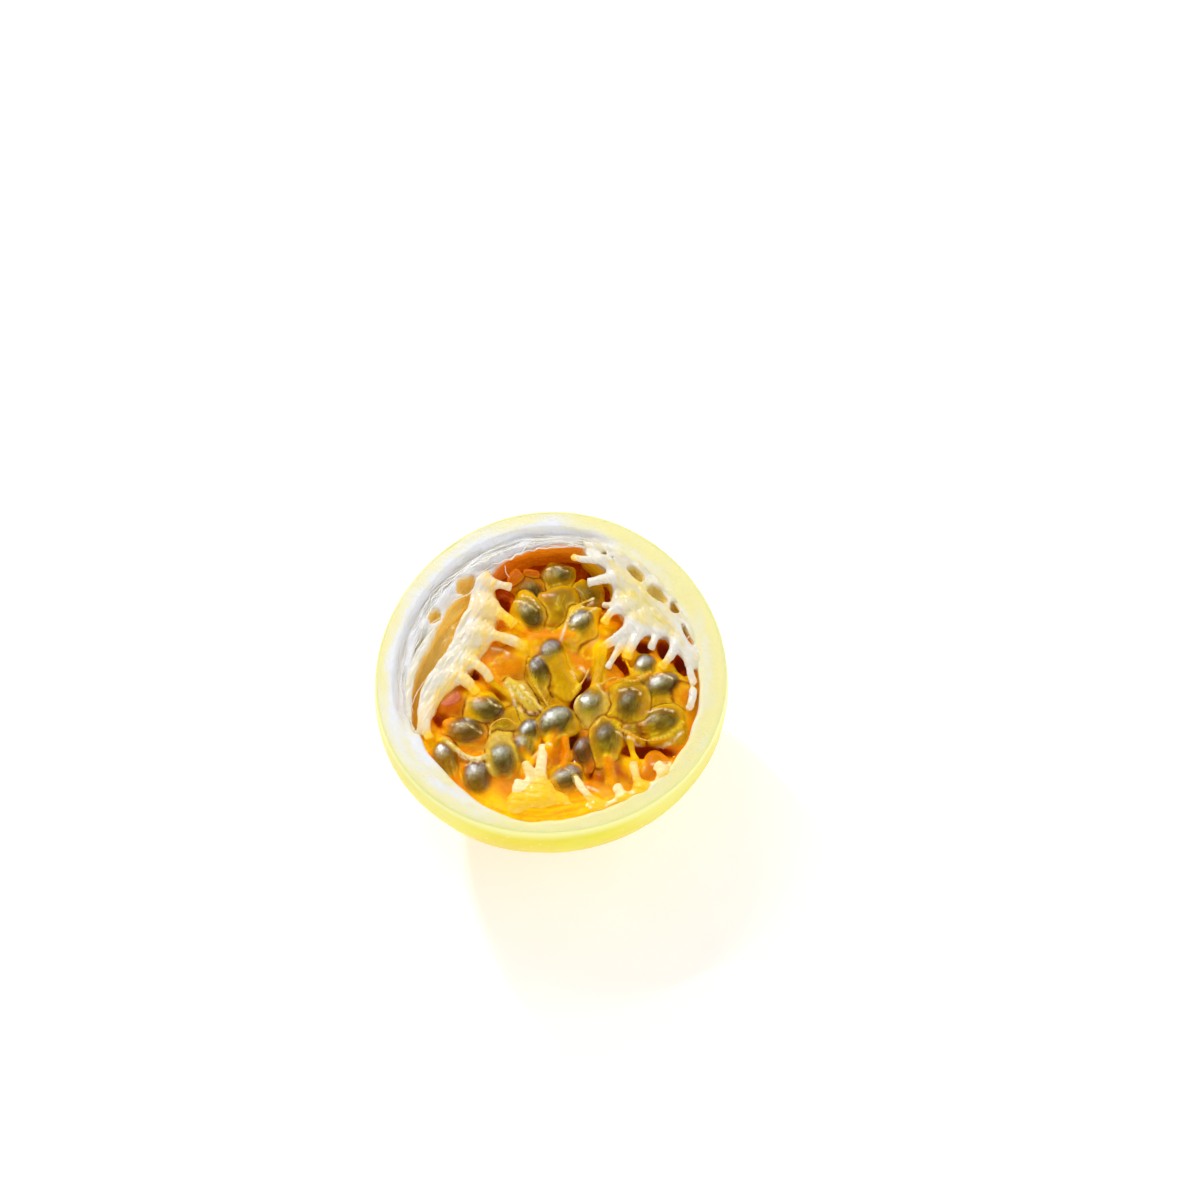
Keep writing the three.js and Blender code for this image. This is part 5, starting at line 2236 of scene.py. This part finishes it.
@dataclass(frozen=True)
class Lamp:
    """A flat lamp: its name, azimuth, elevation, distance in metres, width and height, power."""

    name: str
    azimuth: float
    elevation: float
    distance: float
    size: tuple[float, float]
    power: float

    def hang(self, target: Vector) -> None:
        """Hangs the lamp where it belongs, turned towards a target.

        Args:
            target: where it points.
        """
        lamp = bpy.data.lights.new(self.name, "AREA")
        lamp.shape = "RECTANGLE"
        lamp.size, lamp.size_y = self.size
        lamp.energy = self.power
        turn, rise = math.radians(self.azimuth), math.radians(self.elevation)
        out = math.cos(rise)
        away = Vector((math.cos(turn) * out, math.sin(turn) * out, math.sin(rise)))
        holder = linked(self.name, lamp)
        holder.location = target + away * self.distance
        holder.rotation_euler = (-away).to_track_quat("-Z", "Y").to_euler()


LAMPS = (
    Lamp("key_lamp", 124.0, 34.0, 0.8, (0.06, 0.06), 2.9),
    Lamp("strip_lamp", 118.0, 60.0, 0.8, (0.30, 0.015), 0.9),
    Lamp("left_glint", 165.0, 30.0, 0.8, (0.02, 0.02), 0.16),
    Lamp("far_glint", 88.0, 24.0, 0.8, (0.02, 0.02), 0.16),
    Lamp("right_glint", 40.0, 40.0, 0.8, (0.02, 0.02), 0.16),
    Lamp("right_lamp", 0.0, 42.0, 1.0, (0.6, 0.6), 1.6),
    Lamp("front_lamp", -80.0, 22.0, 1.3, (0.9, 0.5), 3.2),
)


@dataclass
class Studio:
    """Pale floor, soft light from the far side and the camera."""

    tilt: float = 22.0
    lens: float = 120.0
    sensor: float = 36.0
    frame_width: float = 1200.0
    frame_middle: float = 600.0
    pixels_per_mm: float = 4.892
    rim_middle: tuple[float, float] = (550.8, 671.4)
    walls: float = 0.95
    ceiling: float = 0.22
    ceiling_from: tuple[float, float] = (0.35, 0.8)
    floor_half: float = 3.0
    floor_glow: float = 0.32

    def build(self) -> None:
        """Makes the floor, the lights and the camera."""
        self._floor()
        self._lights()
        self._camera()

    def _floor(self) -> None:
        """A wide, plain, pale floor."""
        half = self.floor_half
        mesh = bpy.data.meshes.new("floor")
        corners = [(-half, -half, 0), (half, -half, 0), (half, half, 0), (-half, half, 0)]
        mesh.from_pydata(corners, [], [(0, 1, 2, 3)])
        floor = linked("floor", mesh)
        material, _ = shader("floor", Base_Color=(0.95, 0.95, 0.95), Roughness=0.6,
                             Emission_Color=(1.0, 1.0, 1.0), Emission_Strength=self.floor_glow)
        mesh.materials.append(material)

    def _lights(self) -> None:
        """A white room, darker overhead, and the lamps."""
        world = bpy.data.worlds.new("room")
        world.use_nodes = True
        graph = Graph(world.node_tree)
        way = graph.node("ShaderNodeTexCoord")
        parts = graph.node("ShaderNodeSeparateXYZ", {0: way})
        high = Value(graph, parts.outputs["Z"]).eased(*self.ceiling_from)
        strength = self.walls + high * (self.ceiling - self.walls)
        light = graph.node("ShaderNodeBackground", {"Color": (1.0, 1.0, 1.0), "Strength": strength})
        graph.node("ShaderNodeOutputWorld", {"Surface": light})
        bpy.context.scene.world = world
        target = Vector((0.0, 0.0, FORM.height * MM))
        for lamp in LAMPS:
            lamp.hang(target)

    def _camera(self) -> None:
        """The camera, leaning back from straight down by the tilt."""
        lean = math.radians(self.tilt)
        back = Vector((0.0, -math.sin(lean), math.cos(lean)))
        up = Vector((0.0, math.cos(lean), math.sin(lean)))
        right = Vector((1.0, 0.0, 0.0))
        across = (self.frame_middle - self.rim_middle[0]) / self.pixels_per_mm
        down = (self.frame_middle - self.rim_middle[1]) / self.pixels_per_mm
        rim = Vector(FORM.to_row(np.zeros(3)).tolist())
        aim = rim + (right * across - up * down) * MM
        width = self.frame_width / self.pixels_per_mm * MM
        distance = width * self.lens / self.sensor
        camera = bpy.data.cameras.new("camera")
        camera.lens = self.lens
        camera.sensor_width = self.sensor
        camera.clip_start = 0.01
        holder = linked("camera", camera)
        holder.location = aim + back * distance
        holder.rotation_euler = back.to_track_quat("Z", "Y").to_euler()
        bpy.context.scene.camera = holder
        bpy.context.scene.view_settings.view_transform = "Standard"


# ---- Assembly ----------------------------------


def place(piece: Piece, slot: str, nodes: Sequence[str],
          material: Material | None = None) -> None:
    """Makes a finished piece part of the fruit and reports it.

    Args:
        piece: the piece.
        slot: the material slot its finish belongs to; not used.
        nodes: the solids it stands for.
        material: its material, unless it already has one.
    """
    if material is not None:
        piece.data.materials.clear()
        piece.data.materials.append(material)
    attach(piece, "root")
    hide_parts(*nodes)
    log.info("%s: %d faces, for %s", piece.name, len(piece.data.polygons), ", ".join(nodes))


def main() -> None:
    """Builds the fruit piece by piece, then the studio round it."""
    logging.basicConfig(level=logging.INFO, format="%(message)s")
    Studio().build()
    peel = Peel()
    place(peel.skin(), "peel", ["peel"], SkinFinish().material())
    place(peel.pith(), "peel", ["peel"], PithFinish().material())
    flesh = FleshFinish().material()
    tips = []
    for placenta in PLACENTAS:
        place(placenta.build(), "placenta", [placenta.node], flesh)
        tips += [(*finger.tip, finger.lift[2], finger.juicy) for finger in placenta.fingers]
    jelly, core, middles = Pulp(keep_out=STRIP_SLIT, tips=tips).build()
    place(jelly, "pulp", ["pulp"], JellyFinish().material())
    place(core, "pulp", ["pulp"], CoreFinish().material())
    place(Seeds(middles).build(SeedFinish().material()), "pulp", ["pulp"])
    place(Strands(peel).build(FibreFinish().material()), "placenta", ["placenta_upper_left"])


if __name__ == "__main__":
    main()
